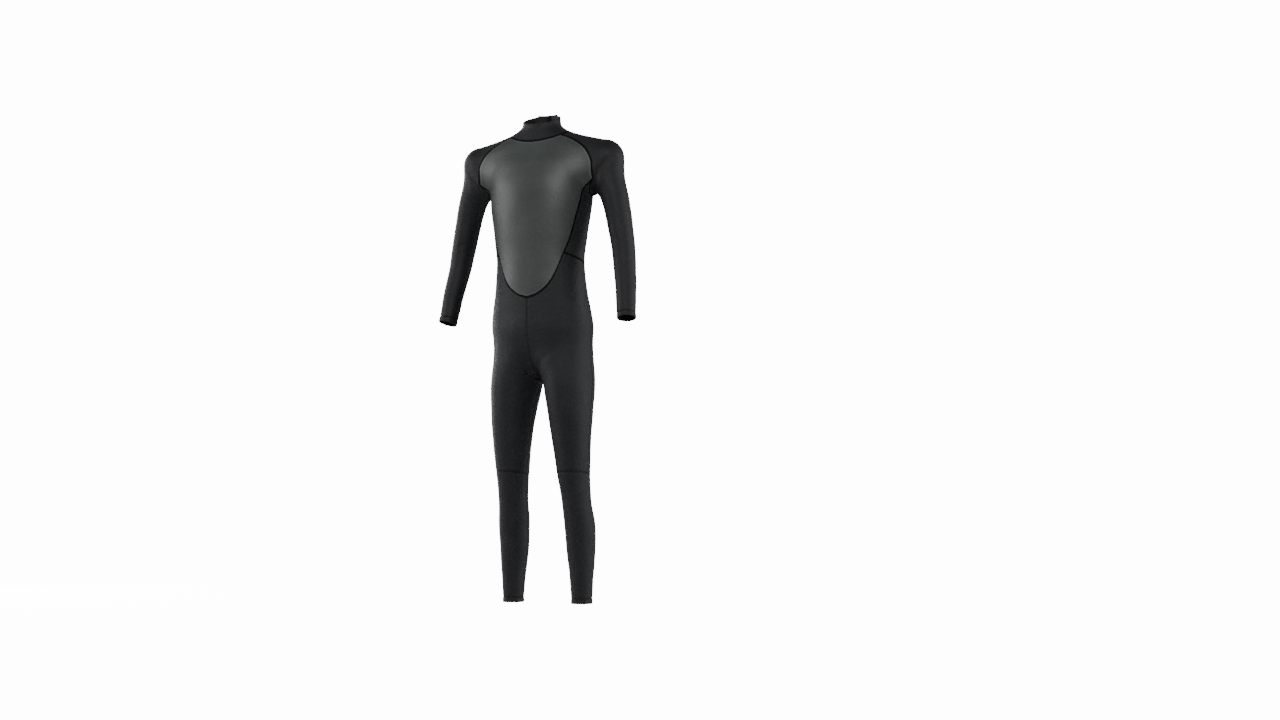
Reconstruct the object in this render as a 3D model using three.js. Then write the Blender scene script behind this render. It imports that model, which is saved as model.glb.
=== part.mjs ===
// Full-length wetsuit with a back zip, shaped as it is worn and held up at the shoulders.
// Millimetres, +Z up, the front faces -Y and +X is the wearer's left.
// Every height is given above the ankle hems; the finished group is then lowered
// so that its origin is the point between the shoulders that carries the suit.
import * as THREE from 'three';

// ---- driving dimensions ------------------------------------------------------------
const LEG_LENGTH = 660;       // from the fork of the legs down to the ankle hems
const BODY_WIDTH = 324;       // across the trunk below the arms
const SHOULDER_Z = 1372;      // height of the origin above the ankle hems of a 660 mm leg
const FABRIC = 3;             // thickness of the neoprene
const SEAM_GAP = FABRIC / 6;  // gap between two panels at a seam
const KNEE_FRONT_Z = 392;     // knee seam on the drawn leg
const KNEE_BACK_Z = 380;
const ANKLE_HEM = 16;         // turned hem at the ankle
const WRIST_HEM = 15;         // turned hem at the wrist
const HEM_PROUD = 0.6;        // a hem stands this far out from the cloth
const WAIST_BACK_Z = 896;     // back waist seam at the zip
const WAIST_SIDE_Z = 919;     // back waist seam at the side seam
const PANEL_TIP_Z = 908;      // bottom tip of the chest panel
const SIDE_SEAM = 96;         // side seam, degrees round from the front
const COLLAR_FRONT = 54;      // height of the collar at the front centre
const COLLAR_RISE = 0.36;     // slope of the collar rim, rising to the back

const TRACK_R = 1000;         // radius of the arc of the zip
const TRACK_Y = -884;         // centre of that arc
const TRACK_Z = 1172;
const ZIP_TOP = 1390;         // top and bottom of the zip
const ZIP_BOTTOM = 952;
const ZIP_SLOT = 22;          // width between the two back panels
const CHAIN_W = 5;            // width of the closed row of teeth
const CHAIN_T = 2.8;
const TEETH = 14;             // waves of the joint between the two rows
const TAPE_T = 1;
const TAPE_SINK = 1.6;        // tape below the outside of the neoprene
const BACKING_W = 76;         // loose panel behind the zip
const BACKING_T = 2;
const BACKING_SINK = 1.2;     // loose panel behind the inner face of the neoprene
const SLIDER_Z = 1366;        // height of the slider when the zip is closed
const SLIDER = [11, 2, 15];   // width, plate thickness, length
const RAIL = [1.4, 3.2];      // lugs that hold the pull tab: width, height
const TAB = [7, 1.8, 34];     // width, thickness, length
const STRAP_W = 9;            // flat pull strap
const STRAP_T = 1.6;
const STRAP_END_Z = 826;
const FLAP_START = 146;       // closure flap round the collar, degrees
const FLAP_END = 226;
const FLAP_H = 53;
const FLAP_T = 2.4;
const PATCH_T = 1.2;          // hook and loop patches
const CLEAR = 0.4;            // clearance between stacked pieces

// body sections: height, centre x, centre y, half width, half depth;
// drawn for a body 324 mm wide with a 660 mm leg, which DRAWN holds
const DRAWN = { width: 324, fork: 660 };
const TRUNK = [
  [660, 0, 13, 140, 104], [760, 0, 13, 150, 112], [820, 0, 10, 157, 115], [870, 0, 5, 153, 109],
  [940, 0, -2, 142, 102], [1020, 0, -5, 136, 100], [1100, 0, -4, 144, 108], [1180, 0, 0, 155, 117],
  [1250, 0, 5, 162, 118], [1310, 0, 10, 168, 106], [1350, 0, 13, 158, 90], [1385, 0, 14, 126, 74],
  [1412, 0, 13, 80, 60], [1436, 0, 11, 40, 40], [1456, 0, 10, 4, 4]];
const ARM = [
  [825, 296, -46, 26.5, 30], [930, 284, -22, 30.5, 36], [1025, 270, 0, 33.5, 41], [1120, 255, 7, 37, 46],
  [1200, 238, 10, 40, 51], [1260, 222, 11, 46, 55], [1330, 202, 12, 53, 55]];
const LEG = [
  [0, 113, 42, 30, 36], [70, 112, 43, 34, 42], [160, 110, 44, 41.5, 53], [240, 108, 38, 44.5, 57],
  [310, 104, 24, 42.5, 55], [400, 100, 10, 48.5, 62], [500, 97, 3, 57.5, 73], [590, 92, 5, 67, 88],
  [640, 88, 10, 71.5, 98], [690, 84, 14, 74.5, 104], [740, 81, 15, 76.5, 106], [800, 79, 12, 77, 104]];
const NECK = [
  [1372, 0, 14, 66, 62], [1400, 0, 11, 62, 61], [1430, 0, 6, 58.5, 59], [1500, 0, -4, 56, 57]];
const SHOULDER = { from: [70, 14, 1369], to: [205, 12, 1326], r0: 42, r1: 56.5, under: 0.12 };
const WRIST = { at: [295, -44, 842], facing: [0.15, -0.25, -1] };

// seam lines on the wearer's left, as [degrees round from the front, height]
const PANEL_EDGE = [[0, PANEL_TIP_Z], [16, 918], [31, 943], [42, 982], [52, 1041]];
const PANEL_SIDE = [[52, 1041], [59.5, 1086], [66, 1152], [71.5, 1212], [75, 1262]];
const RAGLAN_FRONT = [[75, 1262], [73, 1318], [72, 1358], [68, 1386], [60, 1399]];
const RAGLAN_LOW = [[75, 1262], [80, 1234], [88, 1216]];
const RAGLAN_BACK = [[88, 1216], [101, 1232], [112, 1268], [119, 1314], [126, 1362], [133, 1396],
  [137, 1415]];
const SIDE_DIP = [[52, 1041], [68, 1030], [SIDE_SEAM, 1014]];
const NECKLINE = [[0, 1380], [20, 1382], [42, 1389], [60, 1399], [85, 1414], [110, 1420], [137, 1418],
  [180, 1408]];

// number of steps along each seam; panels that meet at a seam share its points
const N = { edge: 6, dip: 3, side: 8, raglan: 5, flank: 4, thigh: 18, front: 11, back: 7, sleeveTop: 12,
  arm: 12, shin: 9, neckBack: 2, collar: 3 };

const COLOUR = { neoprene: 0x17171b, smoothskin: 0x3c423d, lining: 0x1d1d22, hem: 0x141418, zip: 0x101012,
  slider: 0x2a2b2e, strap: 0x16161a, patch: 0x1a1a1d, label: 0x2c2d30 };

// ---- small vector helpers ----------------------------------------------------------
const V = (x, y, z) => new THREE.Vector3(x, y, z);
const lerp = (a, b, t) => a + (b - a) * t;
const clamp = (x, a, b) => Math.min(b, Math.max(a, x));
const rad = (d) => d * Math.PI / 180;
const ramp = (x, a, b) => {
  const t = clamp((x - a) / (b - a), 0, 1);
  return t * t * t * (t * (6 * t - 15) + 10);
};
const smin = (a, b, k) => {
  const h = clamp(0.5 + 0.5 * (b - a) / k, 0, 1);
  return b + (a - b) * h - k * h * (1 - h);
};

// value of column c of a table of stations at height z, through a cubic Hermite curve
function station(table, c, z) {
  const n = table.length, x = clamp(z, table[0][0], table[n - 1][0]);
  let i = 0;
  while (i < n - 2 && x > table[i + 1][0]) i++;
  const slope = (j) => {
    const a = Math.max(j - 1, 0), b = Math.min(j + 1, n - 1);
    return (table[b][c] - table[a][c]) / (table[b][0] - table[a][0]);
  };
  const h = table[i + 1][0] - table[i][0], t = (x - table[i][0]) / h;
  return (2 * t ** 3 - 3 * t * t + 1) * table[i][c] + (t ** 3 - 2 * t * t + t) * h * slope(i)
    + (3 * t * t - 2 * t ** 3) * table[i + 1][c] + (t ** 3 - t * t) * h * slope(i + 1);
}

// signed measure of a stack of superellipse sections; negative inside
function loft(table, x, y, z, power, scale) {
  const u = Math.abs((x - station(table, 1, z)) / station(table, 3, z));
  const v = Math.abs((y - station(table, 2, z)) / station(table, 4, z));
  return ((u ** power + v ** power) ** (1 / power) - 1) * scale;
}

function shoulder(x, y, z) {
  const { from, to, r0, r1, under } = SHOULDER;
  const t = clamp((x - from[0]) / (to[0] - from[0]), 0, 1);
  const dz = z - lerp(from[2], to[2], t);
  return Math.hypot(x - lerp(from[0], to[0], t), y - lerp(from[1], to[1], t), dz < 0 ? dz * under : dz)
    - lerp(r0, r1, t);
}

const trackY = (z) => TRACK_Y + Math.sqrt(TRACK_R ** 2 - (z - TRACK_Z) ** 2);

// the sections are spread to the body's width, and below the fork to the leg's length
const WIDE = BODY_WIDTH / DRAWN.width, LONG = LEG_LENGTH / DRAWN.fork;
const drawnZ = (z) => (z > DRAWN.fork ? z : DRAWN.fork - (DRAWN.fork - z) / LONG);
const realZ = (z) => (z > DRAWN.fork ? z : DRAWN.fork - (DRAWN.fork - z) * LONG);

// the worn body: negative inside, zero on the outside of the suit
function body(x0, y0, z0) {
  const x = x0 / WIDE, z = drawnZ(z0);
  // the centre back follows the arc of the zip
  const shift = trackY(clamp(z, 956, 1420)) - (station(TRUNK, 2, z) + station(TRUNK, 4, z));
  const middle = Math.exp(-((x0 / 55) ** 4)) * ramp(y0, 15, 75) * ramp(z, 872, 952) * ramp(-z, -1440, -1392);
  const y = y0 - shift * middle;
  const w = ramp(z, 640, 840), wa = ramp(z, 1190, 1345);
  const legs = smin(loft(LEG, x, y, z, 2, 70), loft(LEG, -x, y, z, 2, 70), 48);
  const arms = [x, -x].map((s) => lerp(loft(ARM, s, y, z, 2, 50), shoulder(s, y, z), wa));
  let f = lerp(legs, loft(TRUNK, x, y, z, 2.2, 105), w);
  f = smin(f, smin(arms[0], arms[1], 30), 50);
  return smin(f, loft(NECK, x, y, z, 2, 60) + 300 * (1 - ramp(z, 1240, 1340)), 30);
}

function gradient(p) {
  const e = 0.5;
  return V(body(p.x + e, p.y, p.z) - body(p.x - e, p.y, p.z),
    body(p.x, p.y + e, p.z) - body(p.x, p.y - e, p.z),
    body(p.x, p.y, p.z + e) - body(p.x, p.y, p.z - e)).divideScalar(2 * e);
}

// nearest point of the body surface, from a point close to it
function settle(p) {
  const q = p.clone();
  for (let i = 0; i < 14; i++) {
    const g = gradient(q), s = body(q.x, q.y, q.z) / Math.max(g.lengthSq(), 0.05);
    q.addScaledVector(g, -clamp(s, -12, 12));
  }
  return q;
}

// first crossing of the surface from an inside point along a direction
function cast(o, d, reach = 330) {
  const f = (r) => body(o.x + d.x * r, o.y + d.y * r, o.z + d.z * r);
  let a = 2, b = a;
  while (b < reach && f(b) < 0) { a = b; b += 6; }
  for (let i = 0; i < 22; i++) { const m = (a + b) / 2; if (f(m) < 0) a = m; else b = m; }
  return o.clone().addScaledVector(d, (a + b) / 2);
}

// ---- seam lines --------------------------------------------------------------------
const AXIS_Y = 8;
const around = (deg, z) => cast(V(0, AXIS_Y, z), V(Math.sin(rad(deg)), -Math.cos(rad(deg)), 0));
const torsoPoint = ([deg, z]) => settle(around(deg, z));

const steps = (from, to, n) => Array.from({ length: n + 1 }, (_, i) => lerp(from, to, i / n));

// evenly spaced points on the surface along a smooth line through the listed ones
function seam(list, count) {
  const curve = new THREE.CatmullRomCurve3(list.map(torsoPoint), false, 'centripetal');
  curve.arcLengthDivisions = 400;
  return curve.getSpacedPoints(count).map((p, i) => (i === 0 || i === count ? p : settle(p)));
}
const join = (...parts) => parts.flatMap((p, i) => (i ? p.slice(1) : p));
const flip = (line) => [...line].reverse();
const mirror = (line) => line.map((p) => V(-p.x, p.y, p.z));

const legX = (z) => WIDE * station(LEG, 1, drawnZ(z)) * (1 - ramp(z, 600, 880));
const legY = (z) => lerp(station(LEG, 2, drawnZ(z)), AXIS_Y, ramp(z, 600, 880));
const legPoint = (deg, z) => cast(V(legX(z), legY(z), z), V(Math.sin(rad(deg)), -Math.cos(rad(deg)), 0));

const CROTCH_Z = (() => {
  let a = 560, b = 760;
  for (let i = 0; i < 30; i++) { const m = (a + b) / 2; if (body(0, 16, m) > 0) a = m; else b = m; }
  return (a + b) / 2;
})();
const crotch = V(0, 16, CROTCH_Z);

// the centre line from a height down to the crotch, front (-1) or back (+1)
function centreLine(top, side, steps) {
  const pts = [];
  for (let i = 0; i <= 40; i++) {
    const a = rad(90 * i / 40), centre = V(0, 16, Math.min(top, CROTCH_Z + 70));
    if (i === 0) {
      for (let k = 0; k < 20; k++) pts.push(cast(V(0, 16, lerp(top, centre.z, k / 20)), V(0, side, 0)));
    }
    pts.push(cast(centre, V(0, side * Math.cos(a), -Math.sin(a))));
  }
  const curve = new THREE.CatmullRomCurve3(pts, false, 'centripetal');
  curve.arcLengthDivisions = 600;
  return curve.getSpacedPoints(steps);
}

const inseamPoint = (z) => legPoint(-90, z);
const lineZ = (point, from, to, count) => steps(from, to, count).map(point);
const slotPoint = (z) => cast(V(ZIP_SLOT / 2, 16, z), V(0, 1, 0));

const edge = seam(PANEL_EDGE, N.edge);
const panelSide = seam(PANEL_SIDE, N.side);
const raglanFront = seam(RAGLAN_FRONT, N.raglan);
const raglanLow = seam(RAGLAN_LOW, N.dip);
const raglanBack = seam(RAGLAN_BACK, N.raglan + N.dip);
const sideDip = seam(SIDE_DIP, N.dip);
const DIP_Z = SIDE_DIP[2][1];
const flank = lineZ((z) => around(SIDE_SEAM - 8 * ramp(z, 1100, 1216), z), DIP_Z, 1216, N.side);
const hip = lineZ((z) => around(SIDE_SEAM, z), DIP_Z, WAIST_SIDE_Z, N.flank);
const sideAngle = (z) => lerp(92, SIDE_SEAM, ramp(z, 380, 900));
const KNEE_HIGH = realZ(KNEE_FRONT_Z) - 4, KNEE_LOW = realZ(KNEE_BACK_Z) + 6, HEM_TOP = realZ(0) + ANKLE_HEM;
const thigh = lineZ((z) => legPoint(sideAngle(z), z), WAIST_SIDE_Z, KNEE_HIGH, N.thigh);
const frontLine = centreLine(PANEL_TIP_Z, -1, N.front);
const inseam = lineZ((t) => (t === 0 ? crotch : inseamPoint(lerp(CROTCH_Z, KNEE_LOW, t))), 0, 1,
  N.thigh + N.flank - N.front);
const seatLine = centreLine(WAIST_BACK_Z, 1, N.back);
const knee = (endDeg, steps, sag) => Array.from({ length: steps + 1 }, (_, i) => {
  const t = i / steps, z = lerp(KNEE_LOW, KNEE_HIGH, t) + sag * Math.sin(Math.PI * t);
  return legPoint(lerp(-90, endDeg, t), z);
});
const KNEE_SIDE = sideAngle(KNEE_HIGH);
const kneeFront = knee(KNEE_SIDE, N.edge + N.dip, 8);
const kneeBack = knee(KNEE_SIDE - 360, 1 + N.neckBack + N.raglan + N.dip, -8);
const waist = Array.from({ length: 1 + N.neckBack + N.raglan + N.dip }, (_, i) => {
  const t = i / (N.neckBack + N.raglan + N.dip);
  const deg = lerp(180 - Math.atan2(ZIP_SLOT / 2, 98) * 180 / Math.PI, SIDE_SEAM, t);
  return i === 0 ? slotPoint(WAIST_BACK_Z) : around(deg, lerp(WAIST_BACK_Z, WAIST_SIDE_Z, ramp(t, 0, 1)));
});
const waistCentre = cast(V(0, 16, WAIST_BACK_Z), V(0, 1, 0));
const neckHeight = (deg) => station(NECKLINE, 1, deg);
const neckline = (from, to, steps) => Array.from({ length: steps + 1 }, (_, i) => {
  const deg = lerp(from, to, i / steps);
  return settle(around(deg, neckHeight(deg)));
});
const NECK_FRONT = RAGLAN_FRONT[4][0], NECK_BACK = RAGLAN_BACK[6][0];
const neckFront = [...neckline(0, NECK_FRONT, N.edge).slice(0, -1), raglanFront[N.raglan]];
const raglanTop = raglanBack[raglanBack.length - 1];
const neckSide = [raglanFront[N.raglan], ...neckline(NECK_FRONT, NECK_BACK, N.sleeveTop).slice(1, -1),
  raglanTop];
const neckRear = [raglanTop, ...neckline(NECK_BACK, 172, N.neckBack).slice(1, -1), slotPoint(neckHeight(172))];

// ---- solids ------------------------------------------------------------------------
const group = new THREE.Group();

function add(name, geometry, colour, roughness, parent = group) {
  const material = new THREE.MeshStandardMaterial({ color: colour, roughness, metalness: 0 });
  const mesh = new THREE.Mesh(geometry, material);
  mesh.name = name;
  parent.add(mesh);
  return mesh;
}

// closed solid between two equal grids of points, outer and inner; a looped grid closes on itself
function shell(outer, inner, looped = false) {
  const rows = outer.length, cols = outer[0].length, position = [], index = [];
  for (const row of [...outer, ...inner]) for (const p of row) position.push(p.x, p.y, p.z);
  const id = (layer, i, j) => layer * rows * cols + i * cols + (j % cols);
  const quad = (a, b, c, d) => index.push(a, b, c, a, c, d);
  const last = looped ? cols : cols - 1;
  for (let i = 0; i < rows - 1; i++) for (let j = 0; j < last; j++) {
    quad(id(0, i, j), id(0, i, j + 1), id(0, i + 1, j + 1), id(0, i + 1, j));
    quad(id(1, i, j), id(1, i + 1, j), id(1, i + 1, j + 1), id(1, i, j + 1));
  }
  for (let j = 0; j < last; j++) {
    quad(id(0, 0, j + 1), id(0, 0, j), id(1, 0, j), id(1, 0, j + 1));
    quad(id(0, rows - 1, j), id(0, rows - 1, j + 1), id(1, rows - 1, j + 1), id(1, rows - 1, j));
  }
  if (!looped) for (let i = 0; i < rows - 1; i++) {
    quad(id(0, i, 0), id(0, i + 1, 0), id(1, i + 1, 0), id(1, i, 0));
    quad(id(0, i + 1, cols - 1), id(0, i, cols - 1), id(1, i, cols - 1), id(1, i + 1, cols - 1));
  }
  const geometry = new THREE.BufferGeometry();
  geometry.setAttribute('position', new THREE.Float32BufferAttribute(position, 3));
  geometry.setIndex(volume(position, index) < 0 ? turned(index) : index);
  return geometry;
}

// the same triangles, facing the other way
const turned = (index) => index.map((_, k) => index[k - k % 3 + [0, 2, 1][k % 3]]);

function volume(position, index) {
  let v = 0;
  const p = (k) => V(position[3 * k], position[3 * k + 1], position[3 * k + 2]);
  for (let k = 0; k < index.length; k += 3) v += p(index[k]).dot(p(index[k + 1]).cross(p(index[k + 2])));
  return v / 6;
}

// a border of the grid, drawn in over the surface square to its own line
function inset(line, inner, normals) {
  const way = line.map((p, k) => {
    const along = line[Math.min(k + 1, line.length - 1)].clone().sub(line[Math.max(k - 1, 0)]);
    return along.cross(normals[k]).normalize();
  });
  const side = Math.sign(way.reduce((sum, w, k) => sum + w.dot(inner[k].clone().sub(line[k])), 0));
  return way.map((w) => w.multiplyScalar(side));
}

// panel of neoprene on the body: the grid lies on the outside, its border drawn in by half the seam gap
function panel(grid, { thickness = FABRIC, lift = 0, looped = false, flat = null, centred = false } = {}) {
  const rows = grid.length, cols = grid[0].length;
  const normals = grid.map((row) => row.map((p) => {
    const n = gradient(p).normalize();
    return flat ? n.addScaledVector(flat, -n.dot(flat)).normalize() : n;
  }));
  const column = (g, j) => g.map((row) => row[j]);
  const foot = inset(grid[0], grid[1], normals[0]);
  const head = inset(grid[rows - 1], grid[rows - 2], normals[rows - 1]);
  const left = inset(column(grid, 0), column(grid, 1), column(normals, 0));
  const right = inset(column(grid, cols - 1), column(grid, cols - 2), column(normals, cols - 1));
  const draw = (i, j) => {
    const a = i === 0 ? foot[j] : i === rows - 1 ? head[j] : V(0, 0, 0);
    const b = looped ? V(0, 0, 0) : j === 0 ? left[i] : j === cols - 1 ? right[i] : V(0, 0, 0);
    return a.clone().add(b).multiplyScalar(SEAM_GAP / 2 / (1 + a.dot(b)));
  };
  const layers = [lift, lift - thickness].map((offset) => grid.map((row, i) => row.map((p, j) => {
    const q = p.clone().addScaledVector(normals[i][j], offset).add(draw(i, j));
    if (centred) q.x = Math.max(q.x, SEAM_GAP / 2);
    return q;
  })));
  return shell(layers[0], layers[1], looped);
}

// points inside four boundary lines, spread in angle, height and radius round an axis, then laid on the body
function patch(bottom, right, top, left, axis = () => [0, AXIS_Y]) {
  const polar = (p) => {
    const [ax, ay] = axis(p.z);
    return [Math.atan2(p.x - ax, ay - p.y), p.z, Math.hypot(p.x - ax, p.y - ay)];
  };
  const unroll = (line, near) => line.map(polar).map((c) => {
    while (c[0] - near > Math.PI) c[0] -= 2 * Math.PI;
    while (c[0] - near < -Math.PI) c[0] += 2 * Math.PI;
    near = c[0];
    return c;
  });
  const B = unroll(bottom, 1.5), L = unroll(left, B[0][0]), T = unroll(top, L[L.length - 1][0]);
  const R = unroll(right, B[B.length - 1][0]);
  const rows = left.length, cols = bottom.length;
  return left.map((_, i) => bottom.map((__, j) => {
    if (i === 0) return bottom[j];
    if (i === rows - 1) return top[j];
    if (j === 0) return left[i];
    if (j === cols - 1) return right[i];
    const v = i / (rows - 1), u = j / (cols - 1);
    const c = [0, 1, 2].map((k) => lerp(L[i][k], R[i][k], u) + lerp(B[j][k], T[j][k], v)
      - lerp(lerp(B[0][k], B[cols - 1][k], u), lerp(T[0][k], T[cols - 1][k], u), v));
    const [ax, ay] = axis(c[1]);
    return settle(V(ax + Math.sin(c[0]) * c[2], ay - Math.cos(c[0]) * c[2], c[1]));
  }));
}

// each body panel once for the wearer's left, then mirrored
const sided = (name, geometry, colour, roughness) => {
  add(`${name}_l`, geometry, colour, roughness);
  const copy = geometry.clone().scale(-1, 1, 1);
  copy.setIndex(turned([...copy.index.array]));
  add(`${name}_r`, copy, colour, roughness);
};

const chest = patch(join(flip(mirror(edge)), edge), join(panelSide, raglanFront),
  join(flip(mirror(neckFront)), neckFront), mirror(join(panelSide, raglanFront)));
add('chest_panel', panel(chest), COLOUR.smoothskin, 0.45);

sided('side_panel', panel(patch(sideDip, flank, raglanLow, panelSide)), COLOUR.neoprene, 0.75);

const legAxis = (z) => [legX(z), legY(z)];
sided('front_leg', panel(patch(kneeFront, flip(join(hip, thigh)), join(edge, sideDip),
  flip(join(frontLine, inseam)), legAxis), { centred: true }), COLOUR.neoprene, 0.75);
sided('back_leg', panel(patch(kneeBack, flip(thigh), [waistCentre, ...waist],
  flip(join(seatLine, inseam)), legAxis), { centred: true }), COLOUR.neoprene, 0.75);

const slotEdge = lineZ(slotPoint, WAIST_BACK_Z, neckHeight(172), N.flank + N.side);
sided('back_panel', panel(patch(waist, flip(join(flip(flank), hip)), join(flip(neckRear), flip(raglanBack)),
  slotEdge)), COLOUR.neoprene, 0.75);

// lower leg: from the knee seam to the ankle hem, slit along the inseam
const kneeLine = join(kneeFront, flip(kneeBack));
const shinAngle = (j) => lerp(-90, 270, j / (kneeLine.length - 1));
const shin = Array.from({ length: N.shin + 1 }, (_, i) => kneeLine.map((p, j) => {
  if (i === 0) return p;
  const t = i / N.shin, z = lerp(p.z, HEM_TOP, t);
  const a = Math.atan2(p.x - legX(p.z), legY(p.z) - p.y) * 180 / Math.PI;
  const from = j === kneeLine.length - 1 ? 270 : j >= kneeFront.length && a < 0 ? a + 360 : a;
  return legPoint(lerp(from, shinAngle(j), t), z);
}));
sided('lower_leg', panel(shin), COLOUR.neoprene, 0.75);
const ankle = [HEM_TOP, realZ(0)].map((z) => shin[0].slice(1).map((_, j) => legPoint(shinAngle(j), z)));
ankle[1].forEach((p) => { p.z -= SEAM_GAP / 2; });
const hemShape = (flat) => ({ looped: true, flat, lift: HEM_PROUD, thickness: FABRIC + HEM_PROUD });
sided('ankle_hem', panel(ankle, hemShape(V(0, 0, 1))), COLOUR.hem, 0.8);

// sleeve: from the neckline over the shoulder to the armpit, then round the arm to the wrist hem
const wristNormal = V(...WRIST.facing).normalize();
const wide = ([x, y, z]) => V(x * WIDE, y, z);
const armFront = join(flip(raglanFront), raglanLow), armBack = flip(raglanBack);
const SLEEVE_SPINE = [[66, 12, 1366], [104, 12, 1352], [136, 12, 1334], [162, 12, 1314], [182, 12, 1296],
  [196, 12, 1280], [205, 12, 1268], [211, 12, 1258], [216, 12, 1246]];
const fan = (o, t, phi, k) => {
  const d = V(0, 0, 0).crossVectors(t, V(0, 1, 0)).normalize(), f = V(0, 0, 0).crossVectors(t, d);
  const dir = d.multiplyScalar(Math.cos(phi)).addScaledVector(f, Math.sin(phi)).addScaledVector(t, k);
  return cast(o, dir.normalize(), 160);
};
const sleeve = [neckSide];
SLEEVE_SPINE.slice(1).forEach((c, n) => {
  const i = n + 1, o = wide(c), a = rad(lerp(8, 90, i / 8)), t = V(Math.cos(a), 0, -Math.sin(a));
  const d = V(0, 0, 0).crossVectors(t, V(0, 1, 0)), f = V(0, 0, 0).crossVectors(t, d);
  const ends = [armFront[i], armBack[i]].map((p, side) => {
    const v = p.clone().sub(o), u = v.dot(d), w = v.dot(f);
    let phi = Math.atan2(w, u);
    if (side === 0 && phi < 0) phi += 2 * Math.PI;
    if (side === 1 && phi > 0) phi -= 2 * Math.PI;
    return [phi, v.dot(t) / Math.hypot(u, w)];
  });
  sleeve.push(neckSide.map((_, j) => {
    if (j === 0) return armFront[i];
    if (j === N.sleeveTop) return armBack[i];
    const s = j / N.sleeveTop, weight = Math.abs(2 * s - 1) ** 2.5;
    return fan(o, t, lerp(ends[0][0], ends[1][0], s), (s < 0.5 ? ends[0][1] : ends[1][1]) * weight);
  }));
});
const underarm = sleeve[8][0].clone().sub(wide(SLEEVE_SPINE[8]));
const slant = -underarm.z / Math.hypot(underarm.x, underarm.y), start = Math.atan2(-underarm.y, underarm.x);
const armAt = (s) => wide([station(ARM, 1, s), station(ARM, 2, s), s]);
const cuffTop = wide(WRIST.at).addScaledVector(wristNormal, -WRIST_HEM);
for (let i = 1; i <= N.arm; i++) {
  const t = i / N.arm, o = armAt(lerp(SLEEVE_SPINE[8][2], cuffTop.z, t));
  if (i === N.arm) o.copy(cuffTop);
  const axis = V(0, 0, -1).lerp(wristNormal, ramp(t, 0.1, 1)).normalize();
  const first = lerp(start, Math.PI, ramp(t, 0, 0.4));
  sleeve.push(neckSide.map((_, j) => {
    const s = j / N.sleeveTop, weight = Math.abs(2 * s - 1) ** 2.5;
    return fan(o, axis, first - 2 * Math.PI * s, slant * weight * (1 - ramp(t, 0, 0.45)));
  }));
}
sided('sleeve', panel(sleeve), COLOUR.neoprene, 0.7);
const cuff = [0, 1].map((row) => neckSide.slice(1).map((_, j) => {
  const o = cuffTop.clone().addScaledVector(wristNormal, row * WRIST_HEM);
  return fan(o, wristNormal, Math.PI - 2 * Math.PI * j / N.sleeveTop, 0);
}));
sided('wrist_hem', panel(cuff, hemShape(wristNormal)), COLOUR.hem, 0.8);

// collar: from the neckline up to a rim that rises to the back, open behind the neck
const base = join(neckFront, neckSide, neckRear);
const ring = join(flip(mirror(base)), base);
const rimPoint = (deg) => {
  const front = NECKLINE[0][1] + COLLAR_FRONT;
  let z = front;
  for (let i = 0; i < 8; i++) z = front + COLLAR_RISE * (around(deg, z).y + 54);
  return around(deg, z);
};
const degrees = (p) => Math.atan2(p.x, AXIS_Y - p.y) * 180 / Math.PI;
const spread = ring.map((p) => degrees(p));
const collar = Array.from({ length: N.collar + 1 }, (_, i) => ring.map((p, j) => (i === 0 ? p
  : i === N.collar ? rimPoint(spread[j]) : settle(p.clone().lerp(rimPoint(spread[j]), i / N.collar)))));
add('collar', panel(collar), COLOUR.neoprene, 0.75);

// closure flap: sewn to the collar on the wearer's left and wrapped round behind to the right
const FLAP_Z = 1448.5;
const wrap = (from, to, count, reach, lift) => [-1, 1].map((end) => steps(0, 1, count).map((t) => {
  const deg = lerp(from, to, t);
  const low = around(deg, FLAP_Z - FLAP_H / 2), high = around(deg, FLAP_Z + FLAP_H / 2);
  const n = gradient(low.clone().lerp(high, 0.5)).setZ(0).normalize();
  return low.lerp(high, 0.5 + end * reach(t) / FLAP_H).addScaledVector(n, lift(t));
}));
const lifted = (t) => CLEAR + 0.3 + (2 * PATCH_T + 2 * CLEAR) * ramp(t, 0.3, 0.6);
const rounding = (t) => Math.sqrt(1 - (Math.max(t - 0.88, 0) / 0.125) ** 2);
const flapReach = (t) => FLAP_H / 2 * rounding(t);
const flapFace = (extra) => wrap(FLAP_START, FLAP_END, 16, flapReach, (t) => lifted(t) + extra);
add('collar_flap', shell(flapFace(FLAP_T), flapFace(0)), COLOUR.lining, 0.8);
const patchFace = (from, to, lift) => wrap(from, to, 5, () => FLAP_H / 2 - 5, () => lift);
const hookTop = lifted(1) - CLEAR;
const slab = (from, to, low) => shell(patchFace(from, to, low + PATCH_T), patchFace(from, to, low));
add('hook_patch', slab(203, 217, hookTop - PATCH_T), COLOUR.patch, 0.95);
add('loop_patch', slab(200, 228, CLEAR), COLOUR.patch, 0.95);

// ---- zip ---------------------------------------------------------------------------
// a point by distance across the back, height on the arc and distance out from it
const angle = (z) => Math.asin((z - TRACK_Z) / TRACK_R);
const onTrack = (x, z, out) => {
  const a = angle(z), r = TRACK_R + out;
  return V(x, TRACK_Y + r * Math.cos(a), TRACK_Z + r * Math.sin(a));
};
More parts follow.
